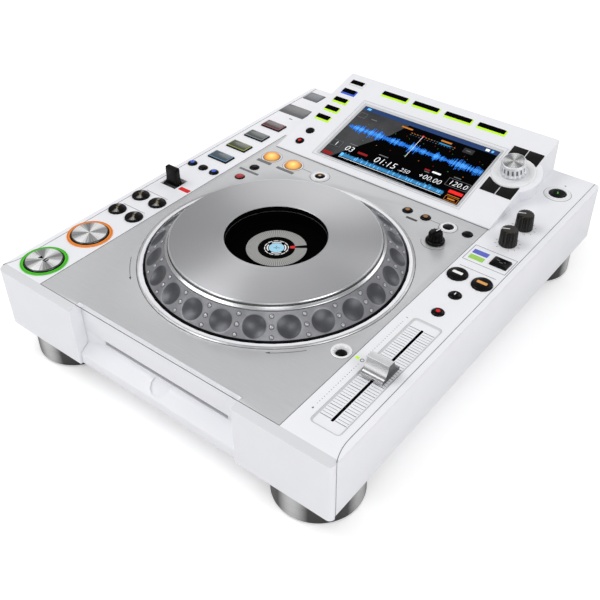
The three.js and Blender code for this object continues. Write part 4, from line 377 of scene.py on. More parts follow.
def rayed(name, pale, dark, centre, count=90):
    """A print of fine rays round a centre."""
    n = Nodes(name)
    place = n.place(centre)
    ray = n.math("SINE", n.math("MULTIPLY", n.angle(place), count))
    n.feed("Base Color", n.mix(n.spread(ray, 0, 1, -0.4, 0.4), dark, pale))
    n.feed("Roughness", n.spread(n.noise(place, 0.6), 0.3, 0.4))
    return n.material


def glass(name, colour, rough=0.06, shine=0.12):
    """Dark display glass with faint smears in its gloss."""
    n = Nodes(name)
    place = n.place()
    cloud = n.noise(place, 0.05, 3.0)
    n.feed("Base Color", n.mix(n.spread(cloud, 0, 1), shade(colour, 0.8), shade(colour, 1.3)))
    n.feed("Roughness", n.spread(n.noise(place, 0.09, 4.0), rough, rough + 0.06))
    n.sockets(Specular_IOR_Level=shine)
    return n.material


SHELL = moulded("shell_white", (0.865, 0.87, 0.905), 0.36, 0.2, 0.008, 0.01)
DISH = moulded("dish_pale", (0.70, 0.705, 0.72), 0.3, 0.3, 0.004, 0.01)
SHELL_LOW = moulded("shell_white_low", (0.85, 0.855, 0.89), 0.42, 0.0, 0.012, 0.012)
COLLAR = moulded("collar_white", (0.84, 0.845, 0.86), 0.22, 0.5, 0.004, 0.01)
PLATE = brushed("deck_brushed", (0.715, 0.72, 0.737), 0.42, 0.55, "X", 0.004)
BLACK = moulded("key_black", (0.0025, 0.0025, 0.003), 0.26, 0.0, 0.006, 0.2, 0.14)
BLACK_DEEP = moulded("well_black", (0.001, 0.001, 0.0012), 0.75, 0.0, 0.006, 0.2, 0.02)
KNOB_BLACK = moulded("knob_black", (0.007, 0.0062, 0.005), 0.3, 0.0, 0.012, 0.15, 0.4)
KNOB_TOP = moulded("knob_top", (0.030, 0.027, 0.023), 0.4, 0.0, 0.012, 0.12, 0.3)
DARK_KEY = moulded("menu_black", (0.009, 0.0088, 0.0085), 0.42, 0.0, 0.012, 0.2, 0.12)
POLISHED_DARK = brushed("polished_dark", (0.11, 0.12, 0.125), 0.24, 1.0, "X", 0.0006)
SATIN_METAL = brushed("satin_metal", (0.66, 0.662, 0.675), 0.3, 0.95, "X", 0.004)
CAP_METAL = brushed("cap_metal", (0.50, 0.502, 0.51), 0.28, 0.9, "X", 0.0004)
# Painted shade for the slider cap's end faces.
CAP_END_SHADE = brushed("cap_end_painted_shade", (0.13, 0.132, 0.135), 0.3, 0.9, "Z", 0.0004)
# Bright metal of the selector, also the painted highlight on the slider cap's top bar.
KNURL_METAL_AND_BAR_HIGHLIGHT = brushed("knurl_metal_and_bar_highlight", (0.90, 0.91, 0.93), 0.34, 0.6, "Z", 0.0004)
# Painted shade for the selector's flute valleys.
KNURL_SHADE = brushed("knurl_painted_shade", (0.24, 0.245, 0.26), 0.32, 0.9, "Z", 0.0004)
# The collar's metal carries faint painted reflection fans round the wheel.
COLLAR_METAL = turned_metal("collar_metal", (0.86, 0.862, 0.87), JOG_CENTRE, 0.3, 0.85, 2.0, 0.03, 2, 0.002)
STUD_METAL = brushed("stud_metal", (0.52, 0.525, 0.54), 0.34, 0.8, "X", 0.003)
RUBBER = moulded("foot_rubber", (0.012, 0.012, 0.012), 0.75, 0.0, 0.05, 0.2, 0.2)
PRINT_DARK = moulded("print_dark", (0.07, 0.07, 0.075), 0.5, 0.0, 0.004, 0.08, 0.3)
PRINT_GREY = moulded("print_grey", (0.17, 0.172, 0.18), 0.5, 0.0, 0.004, 0.06, 0.3)
PRINT_GOLD = moulded("print_gold", (0.34, 0.21, 0.07), 0.4, 0.0, 0.004, 0.06, 0.3)
# Painted shade for thin lines along rim edges.
RIM_EDGE_SHADE = moulded("rim_edge_painted_shade", (0.46, 0.463, 0.475), 0.4, 0.0, 0.006, 0.02)
# Painted shade for the cover's forward-sloping edge.
SHELL_EDGE_SHADE = moulded("shell_edge_painted_shade", (0.66, 0.665, 0.688), 0.42, 0.0, 0.008, 0.01)
# Painted shade for sloped rims.
RIM_SLOPE_SHADE = moulded("rim_slope_painted_shade", (0.62, 0.625, 0.64), 0.4, 0.0, 0.006, 0.02)
SEAM = moulded("seam_grey", (0.10, 0.10, 0.105), 0.6, 0.0, 0.004, 0.1, 0.2)
PRINT_PALE = moulded("print_pale", (0.85, 0.85, 0.85), 0.5, 0.0, 0.004, 0.03)
PANEL_DARK = moulded("panel_dark", (0.035, 0.036, 0.039), 0.5, 0.0, 0.03, 0.12, 0.3)
LENS_GREEN = lit("lens_green", (0.06, 0.42, 0.02), 0.32)
LENS_ORANGE = lit("lens_orange", (0.66, 0.20, 0.03), 0.32)
LENS_RED = lit("lens_red", (0.50, 0.012, 0.014), 0.4)
LENS_LIME = lit("lens_lime", (0.42, 0.70, 0.03), 0.5)
LENS_BLUE = lit("lens_blue", (0.04, 0.09, 0.48), 0.45)
LENS_BLUE_DIM = lit("lens_blue_dim", (0.085, 0.11, 0.42), 0.35)
LENS_LIME_DIM = lit("lens_lime_dim", (0.26, 0.46, 0.09), 0.35)
LENS_AMBER = lit("lens_amber", (0.52, 0.25, 0.07), 0.4)
LENS_AMBER_DIM = lit("lens_amber_dim", (0.26, 0.12, 0.04), 0.25)
LENS_WHITE = lit("lens_white", (0.70, 0.70, 0.70), 0.25)
GOLD = brushed("contact_gold", (0.72, 0.50, 0.18), 0.25, 1.0, "Z", 0.003)


# Shapes


def spin(bm, geom, angle, steps):
    """Spins an outline about Z; a full turn closes on itself."""
    bmesh.ops.spin(
        bm, geom=geom, cent=(0, 0, 0), axis=(0, 0, 1), dvec=(0, 0, 0), angle=angle, steps=steps,
        use_merge=angle > FULL_TURN - TINY, use_duplicate=False
    )


def lathe(profile, sides, kinds=(0,)):
    """A body spun about Z from (radius, height) points; kinds has a finish for each stretch."""
    bm = bmesh.new()
    place = bm.verts.layers.int.new("place")
    closed = (Vector(profile[0]) - Vector(profile[-1])).length < TINY
    count = len(profile) - 1 if closed else len(profile)
    chain = [bm.verts.new((r, 0, z)) for r, z in profile[:count]]
    for k, vert in enumerate(chain):
        vert[place] = k
    pairs = list(zip(chain, chain[1:])) + ([(chain[-1], chain[0])] if closed else [])
    edges = [bm.edges.new(pair) for pair in pairs]
    spin(bm, [*chain, *edges], FULL_TURN, sides)
    for face in bm.faces:
        places = [vert[place] for vert in face.verts]
        step = min(places) if max(places) - min(places) < 2 else count - 1
        face.material_index = kinds[min(step, len(kinds) - 1)]
    bm.verts.layers.int.remove(place)
    bmesh.ops.remove_doubles(bm, verts=bm.verts, dist=WELD)
    return bm


def eased(profile, reach, steps=3, closed=False):
    """The profile with each inner corner rounded."""
    count = len(profile)
    result = []
    for i, point in enumerate(profile):
        if not closed and i in (0, count - 1):
            result.append(tuple(point))
            continue
        here = Vector(point)
        before = Vector(profile[i - 1]) - here
        after = Vector(profile[(i + 1) % count]) - here
        cut = min(reach, before.length / 2.2, after.length / 2.2)
        first = here + before.normalized() * cut
        last = here + after.normalized() * cut
        for k in range(steps + 1):
            t = k / steps
            bend = first * (1 - t) ** 2 + here * (2 * t * (1 - t)) + last * t**2
            result.append(tuple(bend))
    if closed:
        result.append(result[0])
    return result


def rise(edge):
    return abs(edge.verts[0].co.z - edge.verts[1].co.z)


def bevel(bm, edges, reach, segments=2):
    bmesh.ops.bevel(
        bm, geom=list(edges), offset=reach, offset_type="OFFSET", segments=segments, profile=0.5,
        affect="EDGES", clamp_overlap=True, material=-1
    )


def block(x0, x1, y0, y1, z0, z1, corner=0.0, ease=0.0, finish=0):
    """A box whose upright edges and whose other edges may be rounded."""
    bm = bmesh.new()
    size = Matrix.Diagonal((x1 - x0, y1 - y0, z1 - z0, 1))
    middle = shift((x0 + x1) / 2, (y0 + y1) / 2, (z0 + z1) / 2)
    bmesh.ops.create_cube(bm, size=1, matrix=middle @ size)
    if corner:
        upright = [e for e in bm.edges if rise(e) > TINY]
        bevel(bm, upright, corner, 3)
    if ease:
        rim = [e for e in bm.edges if rise(e) < TINY and e.calc_face_angle(0) > 0.8]
        bevel(bm, rim, ease, 2)
    return painted(bm, finish)


def joined(*parts):
    """Several shapes in one, each keeping its finishes."""
    bm = bmesh.new()
    for part in parts:
        scratch = bpy.data.meshes.new("scratch")
        part.to_mesh(scratch)
        part.free()
        bm.from_mesh(scratch)
        bpy.data.meshes.remove(scratch)
    return bm


def painted(bm, finish):
    for face in bm.faces:
        face.material_index = finish
    return bm


def moved(bm, matrix):
    bmesh.ops.transform(bm, matrix=matrix, verts=bm.verts)
    return bm


def extruded(corners, vec):
    """A flat outline pulled along a vector."""
    bm = bmesh.new()
    face = bm.faces.new([bm.verts.new(corner) for corner in corners])
    pulled = bmesh.ops.extrude_face_region(bm, geom=[face])
    moving = [v for v in pulled["geom"] if isinstance(v, bmesh.types.BMVert)]
    bmesh.ops.translate(bm, verts=moving, vec=vec)
    return bm


def prism(points, z0, z1, finish=0):
    """A flat outline raised from z0 to z1."""
    return painted(extruded([(x, y, z0) for x, y in points], (0, 0, z1 - z0)), finish)


def disc(r, depth, sides):
    bm = bmesh.new()
    bmesh.ops.create_cone(bm, cap_ends=True, segments=sides, radius1=r, radius2=r, depth=depth)
    return bm


def ring_band(r0, r1, z0, z1, start=0.0, turn=FULL_TURN, steps=64, finish=0):
    """A flat ring or a part of one."""
    bm = bmesh.new()
    corners = [bm.verts.new((r, 0, z)) for r, z in ((r0, z0), (r1, z0), (r1, z1), (r0, z1))]
    edges = [bm.edges.new(pair) for pair in zip(corners, [*corners[1:], corners[0]])]
    spin(bm, [*corners, *edges], turn, steps)
    bmesh.ops.remove_doubles(bm, verts=bm.verts, dist=WELD)
    bmesh.ops.holes_fill(bm, edges=[e for e in bm.edges if e.is_boundary], sides=4)
    return moved(painted(bm, finish), turned(start))


def rounded(x0, x1, y0, y1, r, steps=4):
    """The outline of a rectangle with rounded corners."""
    points = []
    corners = ((x1 - r, y1 - r, 0), (x0 + r, y1 - r, 90), (x0 + r, y0 + r, 180), (x1 - r, y0 + r, 270))
    for x, y, start in corners:
        turns = [math.radians(start + 90 * k / steps) for k in range(steps + 1)]
        points += [(x + r * math.cos(t), y + r * math.sin(t)) for t in turns]
    return points


def sloped_rim(outer, inner, top, low, finish=0):
    """A rim that slopes in from one outline down to a smaller one."""
    bm = bmesh.new()
    outlines = ((outer, top), (inner, low), (outer, low - 0.05))
    loops = [[bm.verts.new((x, y, z)) for x, y in outline] for outline, z in outlines]
    for first, second in ((0, 1), (1, 2), (2, 0)):
        for i in range(len(outer)):
            j = (i + 1) % len(outer)
            face = bm.faces.new((loops[first][i], loops[first][j], loops[second][j], loops[second][i]))
            face.material_index = finish
    return bm


def strip_print(points, width, z0, z1, finish=0):
    """A printed line of even width along points in the plane."""
    left, right = [], []
    for i, point in enumerate(points):
        here = Vector(point)
        ahead = Vector(points[min(i + 1, len(points) - 1)]) - Vector(points[max(i - 1, 0)])
        side = Vector((-ahead.y, ahead.x)).normalized() * width / 2
        left.append(here + side)
        right.append(here - side)
    return prism([*right, *reversed(left)], z0, z1, finish)


def figures(text, x, y, height, z0, z1, finish=0, lean=0.0, thin=0.0):
    """Plain figures of a given height, their lower left corner at x, y."""
    curve = bpy.data.curves.new("figures", "FONT")
    curve.body = text
    curve.size = height / 0.7
    curve.shear = lean
    curve.offset = -thin
    curve.resolution_u = 3
    curve.extrude = (z1 - z0) / 2
    holder = bpy.data.objects.new("figures", curve)
    scratch = holder.to_mesh()
    bm = bmesh.new()
    bm.from_mesh(scratch)
    holder.to_mesh_clear()
    bpy.data.objects.remove(holder)
    bpy.data.curves.remove(curve)
    bmesh.ops.translate(bm, verts=bm.verts, vec=(x, y, (z0 + z1) / 2))
    return painted(bm, finish)


def centre_of(node):
    low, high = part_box(node)
    return round((low.x + high.x) / 2 / MM, 2), round((low.y + high.y) / 2 / MM, 2)


def add_object(name, data):
    holder = bpy.data.objects.new(name, data)
    bpy.context.scene.collection.objects.link(holder)
    return holder


def settle(name, shape, finishes, body="case", stands_for=(), placed=None, crease=0.55):
    """Turns a shape, or a list of shapes, into a finished piece that rides on a body."""
    bm = joined(*shape) if isinstance(shape, list) else shape
    if placed is not None:
        bmesh.ops.transform(bm, matrix=placed, verts=bm.verts)
    bmesh.ops.recalc_face_normals(bm, faces=bm.faces)
    bmesh.ops.scale(bm, vec=(MM, MM, MM), verts=bm.verts)
    for face in bm.faces:
        face.smooth = True
    for edge in bm.edges:
        edge.smooth = edge.calc_face_angle(0) < crease
    mesh = bpy.data.meshes.new(name)
    bm.to_mesh(mesh)
    bm.free()
    for finish in finishes:
        mesh.materials.append(finish)
    piece = add_object(name, mesh)
    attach(piece, body)
    if stands_for:
        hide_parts(*stands_for)


def dress(node, name, shape, finishes, placed=None, crease=0.55):
    """A piece that stands for the solid of a moving body and rides on that body."""
    settle(name, shape, finishes, node, [node], placed, crease)


def on_deck(node):
    """The place of a key or knob, level with the deck."""
    return shift(*centre_of(node), DECK)


def solid_copy(node, flat):
    """A copy of a solid in millimetres; faces that meet at less than the angle flat become one."""
    bm = bmesh.new()
    bm.from_mesh(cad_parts[node].data)
    bmesh.ops.scale(bm, vec=(1 / MM,) * 3, verts=bm.verts)
    bmesh.ops.remove_doubles(bm, verts=bm.verts, dist=CAD_WELD)
    bmesh.ops.dissolve_limit(bm, angle_limit=flat, verts=bm.verts, edges=bm.edges)
    return bm


def softened(node, finish, reach, shortest, edge_shade_finish=None):
    """A copy of a solid whose long edges are rounded."""
    bm = solid_copy(node, math.radians(0.6))
    long_edges = [
        e for e in bm.edges if e.calc_length() > shortest and e.is_manifold and e.calc_face_angle(0) > 0.5
    ]
    bevel(bm, long_edges, reach, 2)
    if edge_shade_finish:
        # The edge that slopes forwards gets a darker copy of the white: painted shade
        for face in bm.faces:
            face.normal_update()
            if face.normal.y < -0.2 and face.normal.z > 0.3 and face.calc_area() > 20:
                face.material_index = 1
    finishes = [finish, edge_shade_finish] if edge_shade_finish else [finish]
    settle(node + "_soft", bm, finishes, "case", [node])


# Casing

CASING = (
    ("bottom_case", SHELL_LOW, "white_shell", 0.8, 20.0), ("top_cover", SHELL, "white_shell", 0.6, 12.0),
    ("deck_plate", PLATE, "brushed_plate", 0.25, 12.0), ("front_bezel", SHELL, "white_shell", 0.5, 12.0),
    ("display_housing", SHELL, "white_shell", 0.6, 12.0),
    ("rear_panel", PANEL_DARK, "dark_panel", 0.3, 12.0)
)
for node, finish, slot, reach, shortest in CASING:
    softened(node, finish, reach, shortest, SHELL_EDGE_SHADE if node == "top_cover" else None)

CARRIED = {
    "jog_bearing": PANEL_DARK, "disc_drive": SATIN_METAL, "drive_spindle": BLACK,
    "main_board": moulded("board_green", (0.03, 0.16, 0.07), 0.45, 0.2, 0.02, 0.2),
    "power_supply": moulded("supply_board", (0.05, 0.05, 0.055), 0.5, 0.0, 0.03, 0.2),
    "selector_shaft": SATIN_METAL
}
for node, finish in CARRIED.items():
    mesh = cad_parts[node].data
    mesh.materials.clear()
    mesh.materials.append(finish)


def make_feet():
    for name in ("front_left", "front_right", "rear_left", "rear_right"):
        low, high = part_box("foot_" + name)
        x = round((low.x + high.x) / 2 / MM, 1)
        y = round((low.y + high.y) / 2 / MM, 1)
        profile = eased(
            [
                (0, 0), (30.5, 0), (31, 1.6), (33.5, 1.8), (33.5, 24.2), (32.6, 24.95), (5, 24.95),
                (5, 30.8), (0, 30.8)
            ],
            0.5
        )
        kinds = [1 if z < 1.7 else 0 for _, z in profile[:-1]]
        bm = lathe(profile, 96, kinds)
        # The feet's bright upright bands are painted highlights.
        metal = ringed("foot_metal_" + name, (0.085, 0.083, 0.081), (0.66, 0.66, 0.66), (x, y, 0))
        settle(
            "foot_" + name + "_turned", bm, [metal, RUBBER], "case", ["foot_" + name],
            shift(x, y)
        )


make_feet()


# Jog wheel


def dimple_dent(x, y):
    """How far a point of the slope sinks, square to the slope."""
    radius = math.hypot(x, y)
    step = FULL_TURN / DIMPLES
    turn = math.atan2(y, x) / step
    aside = (turn - round(turn)) * step * radius
    along = (radius - DIMPLE_RING_R) * (SLOPE_LENGTH / SLOPE_RUN)
    reach = math.hypot(aside, along)
    if reach >= DIMPLE_R:
        return 0.0
    ball = (DIMPLE_R**2 + DIMPLE_DEPTH**2) / (2 * DIMPLE_DEPTH)
    return math.sqrt(ball**2 - reach**2) - (ball - DIMPLE_DEPTH)


def make_jog_ring():
    rows = 26
    slope = [
        (
            SLOPE_TOP_R + (JOG_R - 0.5 - SLOPE_TOP_R) * k / rows,
            SLOPE_TOP_Z + (DECK + 0.7 - SLOPE_TOP_Z) * k / rows
        )
        for k in range(rows + 1)
    ]
    profile = [
        (12.3, 68), (17, 68), (17, 77.6), (43, 77.6), (43, 87.6), (80, 87.6), (99.8, 75), (102.6, 75),
        (JOG_R, 75.3), (JOG_R, DECK + 0.1), *reversed(slope), (WELL_R, SLOPE_TOP_Z),
        (WELL_R, WELL_FLOOR_Z + 0.6), (WELL_R - 0.6, WELL_FLOOR_Z), (12.3, WELL_FLOOR_Z), (12.3, 68)
    ]
    first_dark = len(profile) - 5
    bm = lathe(profile, 24 * DIMPLES, [1] * 8 + [0] * (first_dark - 8) + [1])
    for vert in bm.verts:
        x, y, z = vert.co
        radius = math.hypot(x, y)
        if radius < SLOPE_TOP_R + 0.1 or z < DECK + 0.4 or radius < 80:
            continue
        depth = dimple_dent(x, y)
        if depth > 0:
            inward = -depth * SLOPE_FALL / SLOPE_LENGTH
            vert.co.x += inward * x / radius
            vert.co.y += inward * y / radius
            vert.co.z -= depth * SLOPE_RUN / SLOPE_LENGTH
    ring = dimpled_ring("jog_slope")
    settle(
        "jog_ring_dimpled", bm, [ring, BLACK_DEEP], "jog_wheel", ["jog_ring"], JOG_PLACE, 0.7
    )


def make_jog_studs():
    """Three small studs stand between each two dimples."""
    studs = []
    lean = math.atan2(SLOPE_FALL, SLOPE_RUN)
    for i in range(DIMPLES):
        turn = (i + 0.5) * FULL_TURN / DIMPLES
        for radius, r in ((88.4, 1.5), (94.2, 1.6), (99.8, 1.45)):
            share = (radius - SLOPE_TOP_R) / SLOPE_RUN
            height = SLOPE_TOP_Z + share * (DECK + 0.3 - SLOPE_TOP_Z)
            dome = bmesh.new()
            bmesh.ops.create_uvsphere(dome, u_segments=12, v_segments=8, radius=r)
            bmesh.ops.scale(dome, vec=(1, 1, 0.5), verts=dome.verts)
            foot = disc(r + 0.35, 0.12, 16)
            place = turned(turn) @ shift(radius, 0, height) @ turned(lean, "Y")
            studs.append(moved(joined(dome, painted(foot, 1)), place))
    settle("jog_studs", studs, [STUD_METAL, SEAM], "jog_wheel", (), JOG_PLACE, 1.0)


def make_jog_plate():
    profile = [
        (WELL_R + 0.1, PLATE_LOW_Z), (WELL_R + 0.1, PLATE_TOP_Z - 0.7), (WELL_R + 0.3, PLATE_TOP_Z - 0.2),
        (WELL_R + 0.8, PLATE_TOP_Z), (PLATE_TOP_R - 0.9, PLATE_TOP_Z),
        (PLATE_TOP_R - 0.2, PLATE_TOP_Z - 0.2), (PLATE_TOP_R + 0.3, PLATE_TOP_Z - 0.9),
        (PLATE_TOP_R + 0.6, PLATE_TOP_Z - 2.0), (PLATE_TOP_R + 1.1, PLATE_TOP_Z - 2.4),
        (PLATE_TOP_R + 2.2, PLATE_LOW_Z + 1.1), (PLATE_R - 0.2, PLATE_LOW_Z + 0.75),
        (PLATE_R, PLATE_LOW_Z + 0.4), (PLATE_R, PLATE_LOW_Z), (WELL_R + 0.1, PLATE_LOW_Z)
    ]
    kinds = [2, 2, 0, 0, 1, 1, 3, 3, 1, 1, 1, 1, 2]
    # The fans in the top's and the edge's colour are painted reflections.
    top = turned_metal("jog_top", (0.605, 0.607, 0.628), JOG_CENTRE, 0.36, 0.8, 1.6, 0.15, 2, 0.004)
    edge = turned_metal("jog_edge", (0.90, 0.905, 0.915), JOG_CENTRE, 0.3, 1.0, 0.6, 0.02, 2, 0.0)
    bm = lathe(profile, 240, kinds)
    finishes = [top, edge, BLACK_DEEP, POLISHED_DARK]
    settle("jog_plate_turned", bm, finishes, "jog_wheel", ["jog_plate"], JOG_PLACE, 0.3)


def make_hub():
    """The still display in the middle: rays, a black ring, thin white rings and a pale disc."""
    low, high = HUB_Z - 0.1, HUB_Z - 0.02
    gap = math.radians(10)
    pointer = math.radians(41)
    base = lathe(
        eased(
            [(0, 68.9), (8.6, 68.9), (8.6, 82.9), (HUB_R, 82.9), (HUB_R, HUB_Z - 0.12), (0, HUB_Z - 0.12)],
            0.4
        ),
        96
    )
    parts = [base, ring_band(14.6, HUB_R - 0.4, low, high, pointer + gap / 2, FULL_TURN - gap, 90, 1)]
    for k in range(12):
        parts.append(ring_band(8.9, 9.6, low, high, k * FULL_TURN / 12, 0.42, 5, 2))
    for k in range(4):
        parts.append(ring_band(6.7, 7.7, low, high, 0.1 + k * FULL_TURN / 4, 1.1, 12, 2))
    parts.append(ring_band(0.01, 6.1, low, high, 0, FULL_TURN, 48, 3))
    for turn, reach in ((0.5, 2.6), (2.3, 1.9), (3.9, 2.4), (5.2, 1.7)):
        mark = block(0.4, reach, -0.28, 0.28, high - 0.01, high + 0.015, 0, 0, 5)
        parts.append(moved(mark, turned(turn)))
    parts.append(ring_band(10.6, 14.5, low, high, pointer - 0.13, 0.26, 6, 4))
    pale = lit("hub_pale_blue", (0.28, 0.52, 0.66), 0.3)
    rays = rayed("hub_rays", (0.42, 0.42, 0.41), (0.22, 0.22, 0.215), JOG_CENTRE, 84)
    settle(
        "hub_face", parts, [BLACK_DEEP, rays, LENS_WHITE, pale, LENS_RED, PRINT_DARK], "case",
        ["hub_display"], JOG_PLACE
    )


def make_jog_collar():
    """The bright collar round the wheel, sloping in to a black band that is painted shade of the gap."""
    profile = [
        (103.85, DECK - 1.0), (103.85, DECK + 0.05), (105.0, DECK + 0.1), (105.2, DECK + 0.2),
        (107.5, DECK + 1.0), (107.9, DECK + 0.9), (108.3, DECK + 0.1), (108.75, DECK + 0.04),
        (108.75, DECK - 1.0), (103.85, DECK - 1.0)
    ]
    # The inner wall and the flat band next to the wheel are black: painted shade of the gap.
    kinds = [1, 1, 1, 0, 0, 0, 2, 1, 1]
    bm = lathe(profile, 256, kinds)
    settle("jog_collar", bm, [COLLAR_METAL, BLACK_DEEP, SEAM], placed=JOG_PLACE, crease=0.4)


make_jog_ring()
make_jog_studs()
make_jog_plate()
make_hub()
make_jog_collar()


# Round buttons


# Heights of a deck key below the deck: its flange and its stem
KEY_FLANGE = (-4.5, -3.4)
KEY_STEM = (-9, -4.4)


def button_profile(r, lift, dome=0.25):
    return eased(
        [
            (0, -9), (r * 0.5, -9), (r * 0.5, -4.9), (r + 0.9, -4.9), (r + 0.9, -3.5), (r, -3.5),
            (r, lift - 0.9), (r - 0.7, lift - 0.15), (r * 0.5, lift + dome), (0, lift + dome)
        ],
        0.45
    )


def button(node, r, lift, side, top, mark=None, dome=0.25, rim=0.9):
    """A round key: its side, its top inside a rim, and what is printed or lit on it."""
    profile = button_profile(r, lift, dome)
    kinds = [1 if z > lift - 0.6 and reach < r - rim else 0 for reach, z in profile[1:]]
    finishes = [side, top]
    parts = [lathe(profile, 64, kinds)]
    for k, (shape, finish) in enumerate(mark or ()):
        parts.append(moved(painted(shape, 2 + k), shift(0, 0, lift + dome - 0.02)))
        finishes.append(finish)
    dress(node, node + "_cap", parts, finishes, on_deck(node))


def play_marks():
    triangle = prism([(-4.6, -1.9), (-0.7, 0), (-4.6, 1.9)], 0, PRINT_T)
    bars = joined(
        prism([(0.7, -1.8), (2.0, -1.8), (2.0, 1.8), (0.7, 1.8)], 0, PRINT_T),
        prism([(3.0, -1.8), (4.3, -1.8), (4.3, 1.8), (3.0, 1.8)], 0, PRINT_T)
    )
    return [(joined(triangle, bars), BLACK_DEEP)]


def arrow_marks(sign, barred):
    """Two small arrowheads, with a bar where the key skips a whole track."""
    heads = [
        prism([(sign * (d - 0.9), -0.7), (sign * (d + 0.4), 0), (sign * (d - 0.9), 0.7)], 0, PRINT_T)
        for d in (-0.2, 1.2)
    ]
    if barred:
        x = sign * 2.0
        heads.append(prism([(x - 0.2, -0.7), (x + 0.2, -0.7), (x + 0.2, 0.7), (x - 0.2, 0.7)], 0, PRINT_T))
    return [(joined(*heads), PRINT_GOLD)]


def dot(r):
    return moved(disc(r, PRINT_T, 24), shift(0, 0, PRINT_T / 2))


def tile(width, depth):
    return block(-width / 2, width / 2, -depth / 2, depth / 2, 0, PRINT_T, min(width, depth) / 4)


def make_play_keys():
    keys = (
        ("play_button", LENS_GREEN, (0.02, 0.20, 0.01), 0.4),
        ("cue_button", LENS_ORANGE, (0.36, 0.10, 0.015), 0.9)
    )
    for node, glow, deep, phase in keys:
        x, y = centre_of(node)
        # The cap's bright and dark rays are painted reflections in its colour.
        cap = spun(
            node + "_metal", (0.24, 0.24, 0.245), (0.97, 0.97, 0.98), (x, y, 0), 4, phase, 0.3, 0.35, -0.42,
            0.32
        )
        marks = play_marks() if node == "play_button" else None
        button(node, 14.9, 2.2, POLISHED_DARK, cap, marks, dome=0.05)
        low = DECK + 0.2
        # The black ring between cap and lit ring is painted shade in the gap between them.
        border = lathe(
            eased([(15.2, low), (15.2, low + 0.4), (15.75, low + 0.4), (15.75, low), (15.2, low)], 0.1), 96
        )
        ring = lathe(
            eased([(15.75, low), (15.75, low + 0.7), (18.1, low + 0.7), (18.4, low), (15.75, low)], 0.3), 96
        )
        line = ring_band(17.15, 17.5, low + 0.6, low + 0.74, 0, FULL_TURN, 96, 2)
        placed = shift(x, y)
        name = node.replace("button", "ring")
        deep_glow = lit(name + "_deep", deep, 0.25)
        settle(name, [ring, painted(border, 1), line], [glow, BLACK, deep_glow], placed=placed)


def make_search_keys():
    for row in ("front", "rear"):
        for side, sign in (("left", -1), ("right", 1)):
            node = f"search_{row}_{side}_button"
            x, y = centre_of(node)
            # The tops are black with a pale glint painted in along two rays as reflection.
            near, pale = (0.002, 0.002, 0.002), (1.0, 0.97, 0.90)
            top = spun(node + "_metal", near, pale, (x, y, 0), 2, -2.86, 0.24, 0.1, 0.3, 0.8, 0.15)
            button(node, 7.6, 1.9, BLACK, top, arrow_marks(sign, row == "rear"), rim=1.9)


def make_small_keys():
    collars = (
        ("reloop_button", 5.1, 8.9, LENS_AMBER, DISH), ("delete_button", 5.1, 7.7, None, DISH),
        ("eject_button", 8.3, 11.9, LENS_GREEN, COLLAR)
    )
    for node, inner, outer, glow, fill in collars:
        x, y = centre_of(node)
        profile = eased(
            [
                (inner, DECK - 0.8), (inner, DECK + 0.7), (outer - 0.9, DECK + 0.95),
                (outer - 0.1, DECK + 0.06), (outer + 0.25, DECK + 0.05), (outer + 0.25, DECK - 0.8),
                (inner, DECK - 0.8)
            ],
            0.25
        )
        ring = lathe(profile, 72, [int(reach > outer - 0.15) for reach, _ in profile])
        name = node.replace("button", "collar")
        settle(name, ring, [fill, PRINT_GREY], placed=shift(x, y))
        r = inner - 0.5
        mark = None
        if glow:
            mark = [(moved(tile(0.9, 3.4), turned(0.4)) if node == "eject_button" else dot(1.3), glow)]
        button(node, r, 1.05, BLACK, BLACK, mark)
    for node in ("mark_erase_button", "mark_store_button", "memory_button"):
        top = moulded(
            "erase_red", (0.33, 0.016, 0.018), 0.35, 0.2, 0.01, 0.15
        ) if node == "mark_erase_button" else BLACK
        button(node, 4.6, 1.05, BLACK, top, None, dome=0.4)
    button("tempo_range_button", 5.1, 1.2, BLACK, BLACK, [(tile(0.8, 2.6), PRINT_PALE)], dome=0.5)
    button("tempo_hold_button", 4.9, 1.2, BLACK, BLACK, [(dot(1.7), LENS_RED)], dome=0.4)
    button("tempo_reset_button", 4.1, -1.3, BLACK, BLACK)
    x, y = centre_of("tempo_reset_button")
    profile = eased(
        [
            (4.7, DECK - 1.2), (5.6, DECK + 0.25), (7.2, DECK + 0.55), (7.8, DECK + 0.06),
            (8.2, DECK - 0.6), (4.7, DECK - 1.2)
        ],
        0.2
    )
    cup = lathe(profile, 64, [int(reach > 7.55) for reach, _ in profile])
    settle("tempo_reset_collar", cup, [COLLAR, PRINT_GREY], placed=shift(x, y))


def make_lit_round_keys():
    for node in ("loop_in_button", "loop_out_button"):
        x, y = centre_of(node)
        # The glow's core is set off the middle towards the front and right and its rim is darker: painted
        # highlight and painted shade of the dome.
        glow = lit(
            node + "_glow", (0.62, 0.20, 0.03), 0.42, 0.3, (x + 1.5, y - 1.9, 0), 7.6, (1.0, 0.68, 0.2)
        )
        button(node, 7.5, 1.9, glow, glow, None, dome=1.1)
        low = DECK - 0.05
        # The black ring round the dome is painted shadow at its foot; the pale band and the grey circle are
        # the surround's own colours.
        rings = joined(
            ring_band(7.55, 8.05, low, DECK + 0.14), ring_band(8.05, 9.6, low, DECK + 0.1, finish=1),
            ring_band(9.6, 9.9, low, DECK + 0.12, finish=2)
        )
        name = node.replace("button", "surround")
        settle(name, rings, [BLACK, DISH, PRINT_GREY], placed=shift(x, y))
    for node, finish in (("sync_button", PRINT_PALE), ("master_button", LENS_AMBER)):
        button(node, 8.3, 1.7, BLACK, BLACK, [(tile(8.6, 3.0), finish)])


